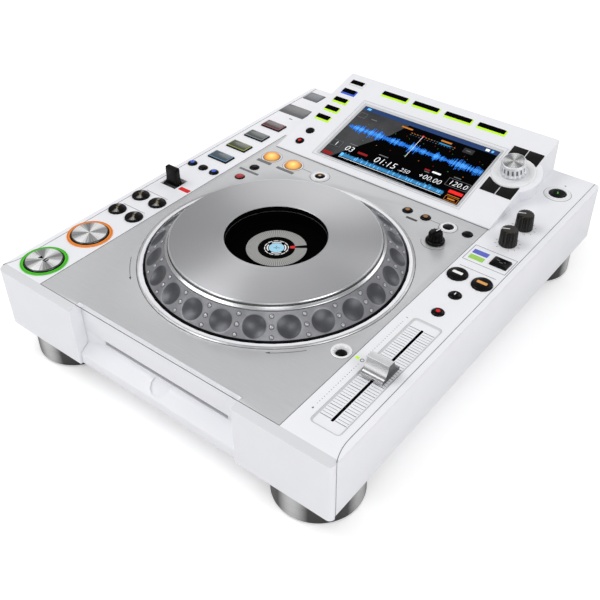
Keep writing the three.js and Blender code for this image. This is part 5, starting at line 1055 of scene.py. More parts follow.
def make_strip_keys():
    """Keys in a row on one strip: three mode keys and two call keys."""
    rows = (
        ("mode_buttons", 4.4, 1.5, 13.1, 3, (LENS_BLUE, None, LENS_BLUE)),
        ("call_buttons", 4.6, 1.1, 17.8, 2, (LENS_AMBER_DIM, LENS_AMBER_DIM))
    )
    for node, r, lift, pitch, count, glows in rows:
        parts = []
        finishes = [BLACK, BLACK]
        for k, glow in enumerate(glows):
            profile = button_profile(r, lift, 0.35)
            offset = shift((k - (count - 1) / 2) * pitch, 0, 0)
            parts.append(moved(lathe(profile, 48), offset))
            if glow:
                spot = painted(dot(2.0), len(finishes))
                parts.append(moved(spot, offset @ shift(0, 0, lift + 0.33)))
                finishes.append(glow)
        reach = (count - 1) / 2 * pitch
        parts.append(block(-reach, reach, -r / 2, r / 2, *KEY_FLANGE))
        dress(node, node + "_row", parts, finishes, placed=on_deck(node))


make_play_keys()
make_search_keys()
make_small_keys()
make_lit_round_keys()
make_strip_keys()


# Square keys and flaps


def make_pads():
    tints = (
        ("hot_cue_pad_1", (0.055, 0.085, 0.105), (0.12, 0.24, 0.36), "pad_slate"),
        ("hot_cue_pad_2", (0.075, 0.085, 0.055), (0.30, 0.34, 0.10), "pad_olive"),
        ("hot_cue_pad_3", (0.075, 0.085, 0.085), (0.22, 0.26, 0.27), "grey_key"),
        ("hot_cue_pad_4", (0.085, 0.055, 0.058), (0.30, 0.10, 0.12), "pad_wine")
    )
    for node, dark, bright, slot in tints:
        face = moulded(node + "_face", dark, 0.22, 0.4, 0.01, 0.15)
        rim = moulded(node + "_rim", bright, 0.3, 0.3, 0.01, 0.08)
        parts = [
            block(-11.3, 11.3, -6.4, 6.4, -3.4, 1.1, 1.0, 0.35, 0),
            block(-10.7, 10.7, -5.8, 5.8, 1.0, 1.5, 0.9, 0.2, 1),
            block(-9.7, 9.7, -4.8, 4.8, 1.4, 1.72, 0.7, 0.12, 2),
            block(-11.8, 11.8, -6.9, 6.9, *KEY_FLANGE), block(-5.6, 5.6, -3.2, 3.2, *KEY_STEM)
        ]
        dress(node, node + "_key", parts, [BLACK, rim, face], on_deck(node))


def make_jog_mode_key():
    parts = [
        block(-7.2, 7.2, -5.7, 5.7, -3.4, 1.4, 0.9, 0.4, 0),
        block(-6.1, 6.1, -4.6, 4.6, 1.35, 1.62, 0.8, 0.12, 0), block(-7.7, 7.7, -6.2, 6.2, *KEY_FLANGE),
        block(-3.5, 3.5, -2.8, 2.8, *KEY_STEM)
    ]
    for x, y, width in ((-2.6, 1.2, 2.2), (0.4, -0.6, 3.0), (3.0, 1.0, 1.4)):
        parts.append(moved(painted(tile(width, 0.5), 1), shift(x, y, 1.6)))
    node = "jog_mode_button"
    dress(node, "jog_mode_key", parts, [BLACK, PRINT_GREY], placed=on_deck(node))


def make_flaps():
    for node, tone in (("card_flap", (0.13, 0.132, 0.138)), ("port_flap", (0.15, 0.162, 0.18))):
        low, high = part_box(node)
        x0, x1 = low.x / MM + 0.1, high.x / MM - 0.1
        y0, y1 = low.y / MM + 0.1, high.y / MM - 0.1
        top = high.z / MM
        cover = moulded(node + "_cover", tone, 0.32, 0.3, 0.01, 0.08)
        parts = [
            block(x0, x1, y0, y1, top - 1.55, top - 0.2, 0.9, 0.25, 1),
            block(x0 + 1.3, x1 - 1.3, y0 + 1.3, y1 - 1.3, top - 0.3, top, 0.7, 0.12, 0)
        ]
        dress(node, node + "_lid", parts, [cover, PRINT_GREY])


make_pads()
make_jog_mode_key()
make_flaps()


# Direction lever, turning knobs and tempo slider


def make_lever():
    drum = lathe(eased([(0, -8.4), (9.2, -8.4), (9.2, 8.4), (0, 8.4)], 0.4), 64)
    moved(drum, turned(math.pi / 2, "Y"))
    pin = moved(lathe([(0, -11.4), (1.95, -11.4), (1.95, 11.4), (0, 11.4)], 24), turned(math.pi / 2, "Y"))
    paddle = bmesh.new()
    bmesh.ops.create_cube(paddle, size=1)
    bmesh.ops.subdivide_edges(paddle, edges=[e for e in paddle.edges if rise(e) > 0.5], cuts=6)
    low, high = 4.6, 24.7
    for vert in paddle.verts:
        share = vert.co.z + 0.5
        waist = 1 - 0.16 * math.sin(math.pi * min(1, share * 1.15))
        vert.co.x *= (15.4 + (12.9 - 15.4) * share) * waist
        vert.co.y *= 8.0 + (4.6 - 8.0) * share
        vert.co.z = low + (high - low) * share
    sharp = [e for e in paddle.edges if e.calc_face_angle(0) > 0.9]
    bevel(paddle, sharp, 0.9, 3)
    pivot = shift(-141.3, from_front(171.2), DECK - 9.3)
    dress("direction_lever", "direction_paddle", [drum, pin, paddle], [BLACK], placed=pivot)


def fluted(bm, reach, low, high, dip_of):
    """Sinks the wall beyond a radius and between two heights by dip_of(turn, height)."""
    for vert in bm.verts:
        x, y, z = vert.co
        if math.hypot(x, y) > reach and low < z < high:
            turn = math.atan2(y, x)
            dip = dip_of(turn, z)
            vert.co.x -= dip * math.cos(turn)
            vert.co.y -= dip * math.sin(turn)
    return bm


def ribbed(r_low, r_top, z0, z1, ribs, depth, dome, sides_per_rib=6):
    """A knob whose wall is ribbed all round."""
    profile = [
        (0, z0), (r_low - 0.4, z0), (r_low, z0 + 0.4), (r_top + (r_low - r_top) * 0.1, z1 - 1.4),
        (r_top - 0.5, z1 - 0.35), (r_top - 1.4, z1 - 0.02), (r_top * 0.5, z1 + dome), (0, z1 + dome)
    ]

    def dip_of(turn, _):
        return depth * max(0.0, math.cos(ribs * turn)) ** 0.7

    return fluted(lathe(profile, ribs * sides_per_rib), r_top - 0.9, z0 + 0.2, z1 - 0.2, dip_of)


def pointer_line(r0, r1, width, z, turn):
    return moved(block(r0, r1, -width / 2, width / 2, z, z + 0.15, 0, 0, 1), turn)


KNOB_SHAFT = [(0, -12), (2.9, -12), (2.9, 2), (0, 2)]


def make_knobs():
    pointer = turned(math.radians(205))
    for node in ("touch_knob", "release_knob"):
        shaft = lathe(KNOB_SHAFT, 32)
        wall = pointer_line(0, 6.2, 0.7, 14.35, pointer)
        edge = moved(block(6.2, 7.3, -0.35, 0.35, 10.5, 14.0, 0, 0, 1), pointer)
        body = ribbed(7.55, 6.9, 0.35, 14.3, 18, 0.75, 0.1)
        for face in body.faces:
            if face.calc_center_median().z > 14.2:
                face.material_index = 2
        finishes = [KNOB_BLACK, PRINT_PALE, KNOB_TOP]
        dress(node, node + "_grip", [body, shaft, wall, edge], finishes, placed=on_deck(node))
    turn = turned(math.radians(75))
    skirt = lathe(eased([(0, 0.35), (8.0, 0.35), (8.0, 1.7), (7.6, 2.5), (6.5, 3.0), (0, 3.2)], 0.3), 96)
    grip = ribbed(6.15, 5.75, 2.6, 9.6, 12, 0.9, 0.05, 10)
    ridge = moved(block(-5.0, 5.0, -1.0, 1.0, 9.5, 10.4, 0.5, 0.25, 0), turn)
    line = pointer_line(0.2, 5.1, 0.8, 10.3, turn)
    tip = moved(block(5.3, 5.95, -0.4, 0.4, 5.6, 9.6, 0, 0, 1), turn)
    shaft = lathe(KNOB_SHAFT, 32)
    parts = [skirt, grip, ridge, line, tip, shaft]
    node = "weight_knob"
    dress(node, "weight_knob_grip", parts, [BLACK, PRINT_PALE], placed=on_deck(node))


CAP_WIDTH = 17.5


def make_slider():
    """A saddle-shaped cap: a flat bar across the middle and a scoop on each side."""
    half = [(10.3, 0.35), (10.3, 2.6)]
    for k in range(13):
        t = k / 12
        half.append((9.9 - 6.3 * t, 3.0 + 7.0 * t**2.3))
    half += [(3.3, 11.4), (3.1, 12.4)]
    section = eased([*half, *[(-y, z) for y, z in reversed(half)]], 0.3, 2, True)[:-1]
    bm = extruded([(-CAP_WIDTH / 2, y, z) for y, z in section], (CAP_WIDTH, 0, 0))
    bmesh.ops.recalc_face_normals(bm, faces=bm.faces)
    # Painted light: the end faces take a dark copy of the cap metal as shade and the top bar a bright copy
    # as highlight.
    for face in bm.faces:
        if abs(face.normal.x) > 0.9:
            face.material_index = 2
        elif face.calc_center_median().z > 12.2:
            face.material_index = 3
    stem = block(-0.65, 0.65, -2.9, 2.9, -6.9, 2.0, 0, 0, 1)
    carriage = block(-4.4, 4.4, -2.9, 2.9, -9.9, -5.1, 0.4, 0, 1)
    finishes = [CAP_METAL, PANEL_DARK, CAP_END_SHADE, KNURL_METAL_AND_BAR_HIGHLIGHT]
    node = "tempo_slider"
    dress(node, "tempo_cap", [bm, stem, carriage], finishes, on_deck(node), 0.35)


make_lever()
make_knobs()
make_slider()


# Display housing: screen, keys and selector


def face_bar(x0, x1, u0, u1, w0, w1, finish=0, corner=0.0):
    return block(x0, x1, u0, u1, w0, w1, corner, 0, finish)


def outline_box(x0, x1, u0, u1, w0, w1, line, finish):
    return joined(
        face_bar(x0, x1, u0, u0 + line, w0, w1, finish), face_bar(x0, x1, u1 - line, u1, w0, w1, finish),
        face_bar(x0, x0 + line, u0 + line, u1 - line, w0, w1, finish),
        face_bar(x1 - line, x1, u0 + line, u1 - line, w0, w1, finish)
    )


GLASS_W = -1.55


def make_screen():
    """Dark glass with a slanting painted reflection, in a window whose sloped sides and thin border are
    painted grey as shade.
    """
    clear = 0.35
    slab = joined(
        block(
            SCREEN_X0 + clear, SCREEN_X1 - clear, SCREEN_U0 + clear, SCREEN_U1 - clear, -3.2, GLASS_W, 0.4,
            0, 0
        ),
        block(SCREEN_X0 - 2.8, SCREEN_X1 + 2.8, SCREEN_U0 - 2.8, SCREEN_U1 + 2.8, -5.9, -2.6)
    )
    dark = glass("screen_glass", (0.001, 0.001, 0.0012), 0.06, 0.015)
    settle("screen", slab, [dark], "case", ["display_panel"], FACE)
    inner = (SCREEN_X0 + 2.0, SCREEN_X1 - 2.0, SCREEN_U0 + 2.0, SCREEN_U1 - 2.0)
    # The sloped sides and the thin border are painted grey as shade.
    rim = sloped_rim(
        rounded(SCREEN_X0 + 0.05, SCREEN_X1 - 0.05, SCREEN_U0 + 0.05, SCREEN_U1 - 0.05, 0.6),
        rounded(*inner, 0.3), -0.05, GLASS_W + 0.02
    )
    border = outline_box(
        SCREEN_X0 - 3.0, SCREEN_X1 + 3.0, SCREEN_U0 - 3.0, SCREEN_U1 + 3.0, -0.03, 0.05, 0.3, 1
    )
    settle("screen_rim", [rim, border], [RIM_SLOPE_SHADE, RIM_EDGE_SHADE], placed=FACE, crease=0.3)
    left, _, near, far = inner
    # The pale patch on the glass is a painted reflection.
    points = [(left, near), (-57.5, near), (-45.0, 32.0), (-24.0, 62.0), (-13.0, far), (left, far)]
    sheen = prism(points, 0, 0.02)
    pale = glass("screen_sheen", (0.056, 0.057, 0.06), 0.1, 0.05)
    settle("screen_sheen", sheen, [pale], "case", (), FACE @ shift(0, 0, GLASS_W + 0.01))


def make_screen_picture():
    """A plain picture of a running track: two waveforms, bars, boxes and figures."""
    random.seed(7)
    w0, w1 = GLASS_W + 0.05, GLASS_W + 0.12
    blue, white, cyan, red, orange, navy, green, grey, light, deep, deep_red, dim = range(12)
    parts = []

    def bar(x0, x1, u0, u1, tone, corner=0.0, low=0.0, high=0.0):
        parts.append(face_bar(x0, x1, u0, u1, w0 + low, w1 + high, tone, corner))

    def box(x0, x1, u0, u1, tone, line=0.3):
        parts.append(outline_box(x0, x1, u0, u1, w0, w1, line, tone))

    def write(text, x, u, height, thin, lean=0.14):
        parts.append(figures(text, x, u, height, w0, w1, white, lean, thin))

    bar(-68.4, 76.2, 82.6, 88.0, navy, 0, 0, -0.04)
    bar(-50.4, 58.6, 17.6, 22.2, deep, 0, 0, -0.03)
    bar(-50.4, 58.6, 16.2, 16.6, white)
    bar(4.4, 4.75, 43.5, 74.5, white, 0, 0.05, 0.06)
    bar(3.6, 5.6, 74.5, 76.1, red, 0, 0.05, 0.06)
    bar(61.8, 75.3, 22.6, 26.4, red, 0.5)
    box(62.6, 75.4, 13.4, 18.6, orange, 0.35)
    bar(65.4, 72.6, 15.2, 16.8, orange, 0.3)
    bar(62.8, 75.0, 19.7, 20.4, orange)
    box(54.2, 75.6, 29.4, 39.2, grey)
    box(-68.4, -57.0, 26.4, 34.8, grey)
    bar(-67.6, -57.4, 14.0, 18.0, deep_red, 0.8, 0, -0.03)
    bar(36.8, 45.4, 37.3, 39.3, white, 0.3)
    bar(29.0, 34.4, 37.4, 39.2, deep_red, 0.3)
    box(-67.5, -59.4, 71.6, 78.6, grey)
    bar(-37.0, -26.5, 27.6, 30.2, deep_red, 0.3)
    bar(-52.6, -46.4, 73.4, 74.4, grey, 0.2)
    bar(46.0, 56.5, 73.0, 79.4, dim, 0.8, 0, -0.04)
    bar(49.0, 53.6, 75.7, 76.7, grey, 0.2)
    x = -66.5
    while x < 75.0:
        swell = 0.62 + 0.4 * math.sin(x * 0.21) * math.sin(x * 0.083 + 1.0)
        height = 0.6 + 7.4 * max(0.08, swell) * random.uniform(0.3, 1.0) ** 1.6
        if random.random() < 0.07:
            height = min(10.5, height * 1.7)
        below = height * random.uniform(0.75, 1.1)
        bar(x, x + 0.5, 56.9 - below, 56.9 + height, blue)
        if height > 3.4:
            parts.append(
                face_bar(x, x + 0.34, 56.9 - below * 0.45, 56.9 + height * 0.5, w1 - 0.01, w1 + 0.02, light)
            )
        x += 0.64
    x = -50.2
    while x < 58.2:
        height = random.uniform(0.4, 1.6) + (2.2 if random.random() < 0.06 else 0)
        tone = light if random.random() < 0.2 else cyan
        parts.append(face_bar(x, x + 0.85, 17.6, 20.2 + height, w1 - 0.02, w1 + 0.02, tone))
        x += 0.86
    parts.append(face_bar(-50.4, -47.6, 17.6, 22.2, w1 + 0.02, w1 + 0.04, light))
    for k in range(9):
        x = -58 + 15.2 * k
        tone = (deep_red, green, orange)[k % 3]
        bar(x, x + 0.8, 44.4, 45.1, tone)
        bar(x + 3, x + 3.4, 68.0, 69.2, deep_red)
        bar(x + 7, x + 7.6, 66.2, 66.7, green)
    for k in range(16):
        x = -8 + 3.0 * k
        bar(x, x + 1.6, 74.2, 74.8, orange if k % 5 < 3 else grey)
        bar(x, x + 1.3, 71.8, 72.3, deep if k % 3 else grey)
    bar(22.0, 33.0, 77.0, 79.0, orange, 0.2)
    bar(22.0, 34.0, 73.2, 75.0, cyan, 0.2, 0.01, 0.01)
    bar(-21.0, -9.0, 77.6, 79.4, orange, 0.2)
    write("01:15", -18.6, 25.0, 7.4, 0.14)
    write(".250", 8.2, 25.6, 4.6, 0.1)
    write("03", -51.6, 26.2, 6.6, 0.12)
    write("1", -64.0, 28.0, 5.2, 0.1, 0)
    write("+00.00", 27.6, 26.8, 5.8, 0.12)
    write("120.0", 56.0, 31.4, 5.8, 0.12)
    for x0, x1, u in ((-18.0, -8.0, 35.0), (-50.6, -42.0, 35.4), (30.0, 35.0, 35.4), (57.0, 64.0, 41.0)):
        bar(x0, x1, u, u + 0.9, grey)
    bar(-28.0, 24.0, 12.9, 13.5, grey)
    bar(-64.6, -60.6, 84.0, 86.6, light, 0.3, 0.04, 0.05)
    bar(63.6, 67.4, 83.8, 86.8, white, 0.3, 0.04, 0.05)
    bar(69.4, 71.6, 83.8, 86.8, light, 0.8, 0.04, 0.05)
    finishes = [
        lit("picture_blue", (0.012, 0.15, 0.62), 0.5), lit("picture_white", (0.70, 0.72, 0.74), 0.6),
        lit("picture_cyan", (0.025, 0.17, 0.36), 0.5), lit("picture_red", (0.60, 0.012, 0.01), 0.7),
        lit("picture_orange", (0.42, 0.14, 0.015), 0.55), lit("picture_navy", (0.012, 0.038, 0.13), 0.3),
        lit("picture_green", (0.03, 0.26, 0.04), 0.5), lit("picture_grey", (0.12, 0.125, 0.13), 0.45),
        lit("picture_light", (0.10, 0.42, 0.86), 0.55), lit("picture_deep", (0.01, 0.06, 0.15), 0.6),
        lit("picture_deep_red", (0.22, 0.006, 0.006), 0.45), lit("picture_dark", (0.02, 0.021, 0.024), 0.3)
    ]
    settle("screen_picture", parts, finishes, placed=FACE)


# Heights of a housing key above the face: its body, its top and the web that joins the row
KEY_BODY = (-3.2, 0.5)
KEY_TOP = (0.4, 0.92)
KEY_WEB = (-3.7, -2.6)


def make_source_keys():
    """Five keys down the left side, each with a lit edge to the front and right."""
    parts = []
    edges = (2, 2, 2, 3, 1)
    for k, edge in enumerate(edges):
        u = 53.1 + 14.55 * k
        parts.append(block(-102.4, -86.8, u - 3.8, u + 3.8, *KEY_BODY, 0.5, 0.15, edge))
        parts.append(block(-102.3, -87.9, u - 1.9, u + 3.75, *KEY_TOP, 0.4, 0.12))
    parts.append(block(-98.4, -90.8, 49.4, 115.1, *KEY_WEB))
    finishes = [BLACK_DEEP, PRINT_PALE, LENS_LIME, LENS_BLUE]
    dress("source_keys", "source_key_row", parts, finishes, placed=FACE)


def make_browse_keys():
    parts = []
    for k in range(4):
        x = -49.5 + 35.05 * k
        parts.append(block(x - 14.3, x + 14.3, 106.4, 114.0, *KEY_BODY, 0.6, 0.15, 1))
        parts.append(block(x - 14.2, x + 13.2, 108.4, 113.95, *KEY_TOP, 0.5, 0.12))
    parts.append(block(-53.2, 59.4, 106.5, 113.9, *KEY_WEB))
    dress("browse_keys", "browse_key_row", parts, [BLACK_DEEP, LENS_LIME], placed=FACE)


def make_link_keys():
    parts = []
    for u, finish in ((15.6, 1), (32.0, 0)):
        profile = eased([(0, -3.2), (4.15, -3.2), (4.15, 0.45), (3.5, 0.95), (1.6, 1.1), (0, 1.1)], 0.3)
        parts.append(moved(lathe(profile, 48), shift(-94.6, u, 0)))
        if finish:
            parts.append(moved(painted(dot(1.5), 1), shift(-94.6, u, 1.05)))
    parts.append(block(-96.6, -92.6, 13.6, 34.0, *KEY_WEB))
    dress("link_keys", "link_key_pair", parts, [BLACK, LENS_RED], placed=FACE)


def menu_half(x0, x1, u0, u1, curve_up):
    """One menu key: a rectangle with a round bite next to the selector."""
    bite = 20.3
    steps = 12
    far, near_limit = (u1, u0) if curve_up else (u0, u1)
    points = [(x0, far), (x1, far)]
    for k in range(steps + 1):
        x = x1 + (x0 - x1) * k / steps
        inside = bite**2 - (x - SELECTOR_X) ** 2
        arc = SELECTOR_U + (1 if curve_up else -1) * math.sqrt(max(inside, 0.0))
        u = max(arc, near_limit) if curve_up else min(arc, near_limit)
        points.append((x, u))
    return points


def make_menu_keys():
    rows = (("menu_keys_rear", 83.0, 99.4, True), ("menu_keys_front", 37.8, 54.2, False))
    for node, u0, u1, up in rows:
        parts = []
        for x0, x1 in ((84.35, 98.3), (99.35, 113.2)):
            bm = prism(menu_half(x0, x1, u0 + 0.05, u1 - 0.05, up), -2.9, 0.85)
            bmesh.ops.recalc_face_normals(bm, faces=bm.faces)
            top = [e for e in bm.edges if min(v.co.z for v in e.verts) > 0.8]
            bevel(bm, top, 0.25, 2)
            parts.append(bm)
        parts.append(block(82.9, 111.7, u0 - 1.3, u1 + 1.3, -3.65, -2.55))
        middle = u1 - 4.6 if up else u0 + 4.6
        parts.append(block(98.35, 99.3, middle - 4.4, middle + 4.4, -2.9, 0.3, 0, 0, 1))
        dress(node, node + "_pair", parts, [DARK_KEY, SHELL], FACE)


def make_selector():
    """A bright fluted knob with a scalloped foot, over a white dish."""
    dish = lathe(
        eased(
            [
                (3.6, 0.3), (12.6, 0.3), (13.4, 0.9), (17.6, 1.25), (18.9, 1.0), (19.3, 0.2), (19.3, -0.8),
                (3.6, -0.8), (3.6, 0.3)
            ],
            0.4
        ),
        128
    )
    placed = FACE @ shift(SELECTOR_X, SELECTOR_U, 0)
    settle("selector_dish", dish, [COLLAR], placed=placed)
    profile = [
        (3.5, 2.35), (10.6, 2.35), (11.6, 2.5), (11.9, 3.0), (11.7, 3.6), (10.9, 4.5), (10.4, 5.4),
        (10.3, 9.6), (10.5, 10.2), (10.6, 12.4), (10.2, 13.1), (9.6, 13.4), (8.8, 13.35), (0, 13.5)
    ]
    flutes = 16
    bm = lathe(profile, flutes * 14, [0] * 11 + [1])

    def dip_of(turn, height):
        depth = 1.15 if height > 4 else 1.0
        return depth * (0.5 + 0.5 * math.cos(flutes * turn)) ** 1.5

    fluted(bm, 9, 0, 10.1, dip_of)
    # Painted shade: the faces deep in the flutes take the darker metal.
    for face in bm.faces:
        spot = face.calc_center_median()
        if 4.2 < spot.z < 10 and math.hypot(spot.x, spot.y) > 8.5:
            valley = math.cos(flutes * math.atan2(spot.y, spot.x))
            face.material_index = 2 if valley > 0.35 else 0
    centre = FACE @ Vector((SELECTOR_X, SELECTOR_U, 13.5))
    # The top's bright and dark rays are painted reflections in its colour.
    top = spun("selector_top", (0.26, 0.265, 0.27), (0.97, 0.975, 0.98), tuple(centre), 4, 0.2, 0.24, 0.55)
    bore = lathe([(3.5, 2.35), (3.5, 10.4), (0, 10.4)], 48)
    finishes = [KNURL_METAL_AND_BAR_HIGHLIGHT, top, KNURL_SHADE]
    dress("selector_knob", "selector_grip", [bm, bore], finishes, placed, 0.9)


make_screen()
make_screen_picture()
make_source_keys()
make_browse_keys()
make_link_keys()
make_menu_keys()
make_selector()


# Prints, scales and lamps on the deck


def deck_rect(x0, x1, y0, y1, finish, z=DECK, corner=0.0):
    return block(x0, x1, from_front(y0), from_front(y1), z - 0.05, z + PRINT_T, corner, 0, finish)


def deck_line(points, width, finish, z=DECK):
    return strip_print([(x, from_front(y)) for x, y in points], width, z - 0.05, z + PRINT_T, finish)


def arc_points(radius, start, end, steps=14, centre=(JOG_X, JOG_FROM_FRONT)):
    turns = [math.radians(start + (end - start) * k / steps) for k in range(steps + 1)]
    return [(centre[0] + radius * math.cos(t), centre[1] + radius * math.sin(t)) for t in turns]


# The slider's scale
SCALE_MARKS = 41
SCALE_START = 31.6
SCALE_PITCH = 2.62


def make_lamps():
    """The small lamps and tags on the deck."""
    lamps = (
        ("reverse_lamp", (-130.4, -119.0, 165.0, 169.7), LENS_RED),
        ("mode_lamp_blue", (118.8, 132.0, 240.4, 246.0), LENS_BLUE_DIM),
        ("mode_lamp_green", (119.3, 132.0, 232.7, 238.4), LENS_LIME_DIM),
        ("zero_lamp", (115.6, 118.6, 85.2, 87.6), LENS_LIME),
        ("card_mark", (-136.0, -132.0, 325.8, 327.0), PRINT_GREY),
        ("eject_mark", (134.9, 136.5, 376.6, 377.8), PRINT_GREY)
    )
    for name, (x0, x1, y0, y1), finish in lamps:
        settle(name, deck_rect(x0, x1, y0, y1, 0, DECK, 0.5), [finish])


def make_deck_prints():
    """Plain marks: the slider's scale, turning arrows, knob scales and blank label bars."""
    dark, grey = 0, 1
    parts = []

    def rect(*box):
        parts.append(deck_rect(*box))

    def line(points, width=0.35):
        parts.append(deck_line(points, width, grey))

    for k in range(SCALE_MARKS):
        y = SCALE_START + SCALE_PITCH * k
        long_mark = k % 4 == 0
        inner = 135.5 if long_mark else 135.1
        width = 0.34 if long_mark else 0.22
        finish = dark if long_mark else grey
        rect(127.0, inner, y, y + width, finish, DECK - 1)
        rect(274.2 - inner, 147.4, y, y + width, finish, DECK - 1)
    for k in range(SCALE_MARKS):
        y = 36.2 + 2.5 * k
        if abs(y - 86.1) > 3:
            rect(120.9, 121.4, y, y + 0.5, grey)
    for y in (31.4, 142.0):
        rect(120.4, 121.9, y, y + 0.4, dark)
    rect(120.95, 121.35, 30.8, 32.4, dark)
    parts.append(
        moved(ring_band(1.1, 1.5, 0, PRINT_T, 0, FULL_TURN, 32, dark), shift(121.2, from_front(86.1), DECK))
    )
    for points in (arc_points(113.4, -141, -127), arc_points(112.2, -54, -40)):
        line(points, 0.5)
    for tip, turn in (((-69.3, 52.6), -37), ((65.6, 52.9), -144)):
        head = prism([(1.6, 0), (-1.6, 0.8), (-1.6, -0.8)], -0.05, PRINT_T, dark)
        place = shift(tip[0], from_front(tip[1]), DECK) @ turned(math.radians(turn))
        parts.append(moved(head, place))
    line(arc_points(11.4, 200, 340, 14, (88.2, 234.8)))
    for x, y in ((135.8, 295.8), (135.8, 267.8)):
        for turn in range(-60, 241, 30):
            a = math.radians(turn)
            reach = (9.0, 10.6)
            line([(x + r * math.cos(a), y + r * math.sin(a)) for r in reach], 0.3)
    frame_points = [(116.6, 229.2), (153.4, 229.2), (153.4, 251.0), (116.6, 251.0), (116.6, 229.2)]
    for first, last in zip(frame_points, frame_points[1:]):
        line([first, last])
    rect(-109.2, -93.2, 245.0, 248.8, grey, DECK, 0.4)
    rect(-86.2, -67.0, 245.0, 248.4, grey, DECK, 0.4)
    rect(-112.0, -90.4, 224.2, 226.9, grey, DECK, 0.4)
    rect(50.6, 61.2, 249.4, 251.9, dark, DECK, 0.6)
    line([(-66.5, 258.6), (-55.5, 258.2)])
    line([(62.6, 258.9), (78.4, 258.6)])
    for y in (120.6, 147.4):
        line([(-150.5, y), (-125.3, y)])
    line([(119.2, 220.4), (150.5, 220.4)])
    settle("deck_prints", parts, [PRINT_DARK, PRINT_GREY])


def make_slider_tray():
    """The dark slot of the slider and the sloped rim of its tray."""
    slot = block(136.25, 137.95, from_front(30.2), from_front(137.8), DECK - 1.2, DECK - 0.93, 0.5, 0, 0)
    inner = block(136.0, 138.2, from_front(30.0), from_front(138.0), DECK - 2.6, DECK - 1.25, 0.5, 0, 0)
    settle("slider_slot", [slot, inner], [BLACK_DEEP])
    x0, x1, y0, y1 = TRAY

    def outline(grow, r):
        return rounded(x0 - grow, x1 + grow, from_front(y0 - grow), from_front(y1 + grow), r)

    # The sloped rim and the thin line round its edge are painted grey as shade of the tray's edge.
    rim = sloped_rim(outline(0, 3.0), outline(-1.1, 2.0), DECK + 0.02, DECK - 0.95)
    edge = sloped_rim(outline(0.3, 3.3), outline(0, 3.0), DECK + 0.04, DECK + 0.02, 1)
    settle("tray_rim", [rim, edge], [RIM_SLOPE_SHADE, RIM_EDGE_SHADE], crease=0.3)


SEAM_X = 155.0


def make_seams():
    """Fine dark seams: round the plate, along the top's side edges and along the foot of the housing."""
    lines = (
        (-110.3, 115.2, 275.3, 276.1, 0.02, 0.1), (-150.2, -132.4, 163.2, 163.5, 0.02, 0.1),
        (-150.2, -132.4, 178.9, 179.2, 0.02, 0.1), (-117.75, -117.3, 7.2, 297.8, 0.3, 0.03),
        (113.7, 114.15, 7.2, 297.8, 0.3, 0.03), (-117.6, 114.0, 6.75, 7.15, 0.3, 0.03)
    )
    parts = []
    for x0, x1, y0, y1, low, high in lines:
        parts.append(block(x0, x1, from_front(y0), from_front(y1), DECK - low, DECK + high))
    for side in (-1, 1):
        steps = [k / 8 for k in range(9)]
        curve = [(side * (SEAM_X + 4.7 * t * t), 24.0 - 19.2 * t) for t in steps]
        parts.append(deck_line([(side * SEAM_X, 396.0), *curve], 0.42, 0, DECK - 0.03))
        x0, x1 = sorted((side * 159.9, side * 160.05))
        parts.append(block(x0, x1, from_front(4.5), from_front(4.9), CASE_LOW + 0.8, DECK - 0.5))
    settle("deck_seams", parts, [SEAM])


make_lamps()
make_deck_prints()
make_slider_tray()
make_seams()


# Rear and underside


def make_screws(name, places, profile, arm, half, along, across):
    """Screw heads with a cross, whose two bars lie at the heights along and across."""
    screws = []
    for place in places:
        head = lathe(eased(profile, 0.2), 24)
        bar = block(-arm, arm, -half, half, *along, 0, 0, 1)
        second = block(-half, half, -arm, arm, *across, 0, 0, 1)
        screws.append(moved(joined(head, bar, second), place))
    settle(name, screws, [SATIN_METAL, BLACK])


def make_rear_details():
    """Contact rings in the audio sockets, and the screw heads on the rear."""
    y1 = REAR + 6
    parts = []
    for k in range(3):
        x = -118 + 16 * k
        shell = lathe([(1.9, -7.6), (4.25, -7.6), (4.25, 0.02), (1.9, 0.02), (1.9, -7.6)], 48)
        turn = shift(x, y1, CASE_LOW + 24) @ turned(-math.pi / 2, "X")
        parts.append(moved(shell, turn))
        collar = lathe([(4.3, -10.8), (6.2, -10.8), (6.2, -9.2), (4.3, -9.2), (4.3, -10.8)], 48)
        parts.append(moved(painted(collar, 1), turn))
    settle("audio_rings", parts, [GOLD, BLACK])
    heads = [(-137, 38), (-88, 38), (-12, 38), (30, 38), (66, 38), (137, 38), (66, 68), (110, 68)]
    places = [shift(x, REAR - 3.15, z) @ turned(-math.pi / 2, "X") for x, z in heads]
    profile = [(0, 0), (2.6, 0), (2.6, 0.7), (1.9, 1.1), (0, 1.1)]
    make_screws("rear_screws", places, profile, 1.5, 0.3, (1.05, 1.14), (1.05, 1.15))


def make_under_screws():
    heads = [(-150, 90), (-150, 200), (-150, 310), (150, 90), (150, 200), (150, 310), (-60, 380), (60, 380)]
    places = [shift(x, from_front(y), CASE_LOW + 0.05) for x, y in heads]
    profile = [(0, 0), (3.2, 0), (3.2, -0.5), (2.4, -0.9), (0, -0.9)]
    make_screws("under_screws", places, profile, 1.8, 0.35, (-0.96, -0.85), (-0.97, -0.85))


def make_power_rocker():
    bm = solid_copy("power_switch", 0.01)
    bevel(bm, [e for e in bm.edges if e.calc_face_angle(0) > 0.3], 0.35, 2)
    dress("power_switch", "power_rocker", bm, [BLACK])


make_rear_details()
make_under_screws()
make_power_rocker()


# Floor, light and camera


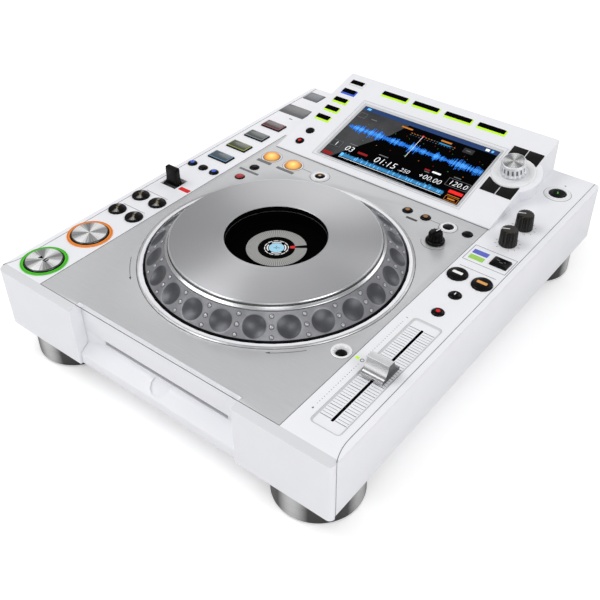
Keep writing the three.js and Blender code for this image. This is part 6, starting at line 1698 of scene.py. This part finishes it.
def make_stage():
    """A pale floor, white to the camera."""
    bm = bmesh.new()
    bmesh.ops.create_grid(bm, x_segments=1, y_segments=1, size=6.0)
    mesh = bpy.data.meshes.new("floor")
    bm.to_mesh(mesh)
    bm.free()
    n = Nodes("floor_pale")
    place = n.place()
    n.feed(
        "Base Color", n.mix(n.spread(n.noise(place, 0.002), 0, 1), (0.86, 0.86, 0.865), (0.88, 0.88, 0.885))
    )
    n.sockets(Roughness=0.9)
    path = n.new("ShaderNodeLightPath")
    seen = n.math("MAXIMUM", path.outputs["Is Camera Ray"], path.outputs["Is Transmission Ray"])
    n.sockets(Emission_Color=(1, 1, 1, 1))
    n.feed("Emission Strength", n.math("MULTIPLY", seen, 0.35))
    mesh.materials.append(n.material)
    floor = add_object("floor", mesh)


def make_world():
    """A white room, brighter to the camera and dimmer in what shines."""
    world = bpy.data.worlds.new("studio")
    bpy.context.scene.world = world
    world.use_nodes = True
    tree = world.node_tree
    lamp = tree.nodes["Background"]
    lamp.inputs["Color"].default_value = (1, 1, 1, 1)
    path = tree.nodes.new("ShaderNodeLightPath")
    base = 0.5
    for ray, extra in (("Is Camera Ray", 0.5), ("Is Transmission Ray", 0.5), ("Is Glossy Ray", -0.2)):
        share = tree.nodes.new("ShaderNodeMath")
        share.operation = "MULTIPLY_ADD"
        tree.links.new(path.outputs[ray], share.inputs[0])
        share.inputs[1].default_value = extra
        if isinstance(base, float):
            share.inputs[2].default_value = base
        else:
            tree.links.new(base, share.inputs[2])
        base = share.outputs[0]
    tree.links.new(base, lamp.inputs["Strength"])


LIGHT_AIM = Vector((0, 0, 0.05))


def make_light(name, place, size, power):
    light = bpy.data.lights.new(name, "AREA")
    light.shape = "DISK"
    light.size = size
    light.energy = power
    holder = add_object(name, light)
    holder.location = place
    holder.rotation_euler = (LIGHT_AIM - Vector(place)).to_track_quat("-Z", "Y").to_euler()


def make_camera():
    """The place, the directions and the lens solved from the photograph."""
    data = bpy.data.cameras.new("camera")
    data.sensor_width = 36
    data.lens = 51.0
    data.shift_x = -0.0362
    data.shift_y = -0.0199
    data.clip_end = 30
    camera = add_object("camera", data)
    right = Vector((0.7967, 0.6044, 0.0066)).normalized()
    forward = Vector((-0.4683, 0.6241, -0.6254)).normalized()
    up = right.cross(forward)
    turn = Matrix((right, up, -forward)).transposed().to_4x4()
    camera.matrix_world = shift(0.3496, -0.4660, 0.4760) @ turn
    bpy.context.scene.camera = camera


make_stage()
make_world()
for name, place, size, power in (
    ("key_lamp", (-0.9, -0.5, 1.5), 1.1, 9.6), ("side_lamp", (1.35, -0.25, 0.75), 0.9, 4.9),
    ("front_lamp", (0.55, -0.8, 1.3), 0.6, 2.6), ("rear_lamp", (-0.95, 1.35, 0.72), 0.9, 1.9),
    ("back_lamp", (0.4, 1.3, 1.1), 0.9, 3.4), ("low_lamp", (-0.3, -1.5, 0.45), 0.7, 2.3)
):
    make_light(name, place, size, power)
make_camera()
bpy.context.scene.view_settings.view_transform = "Standard"
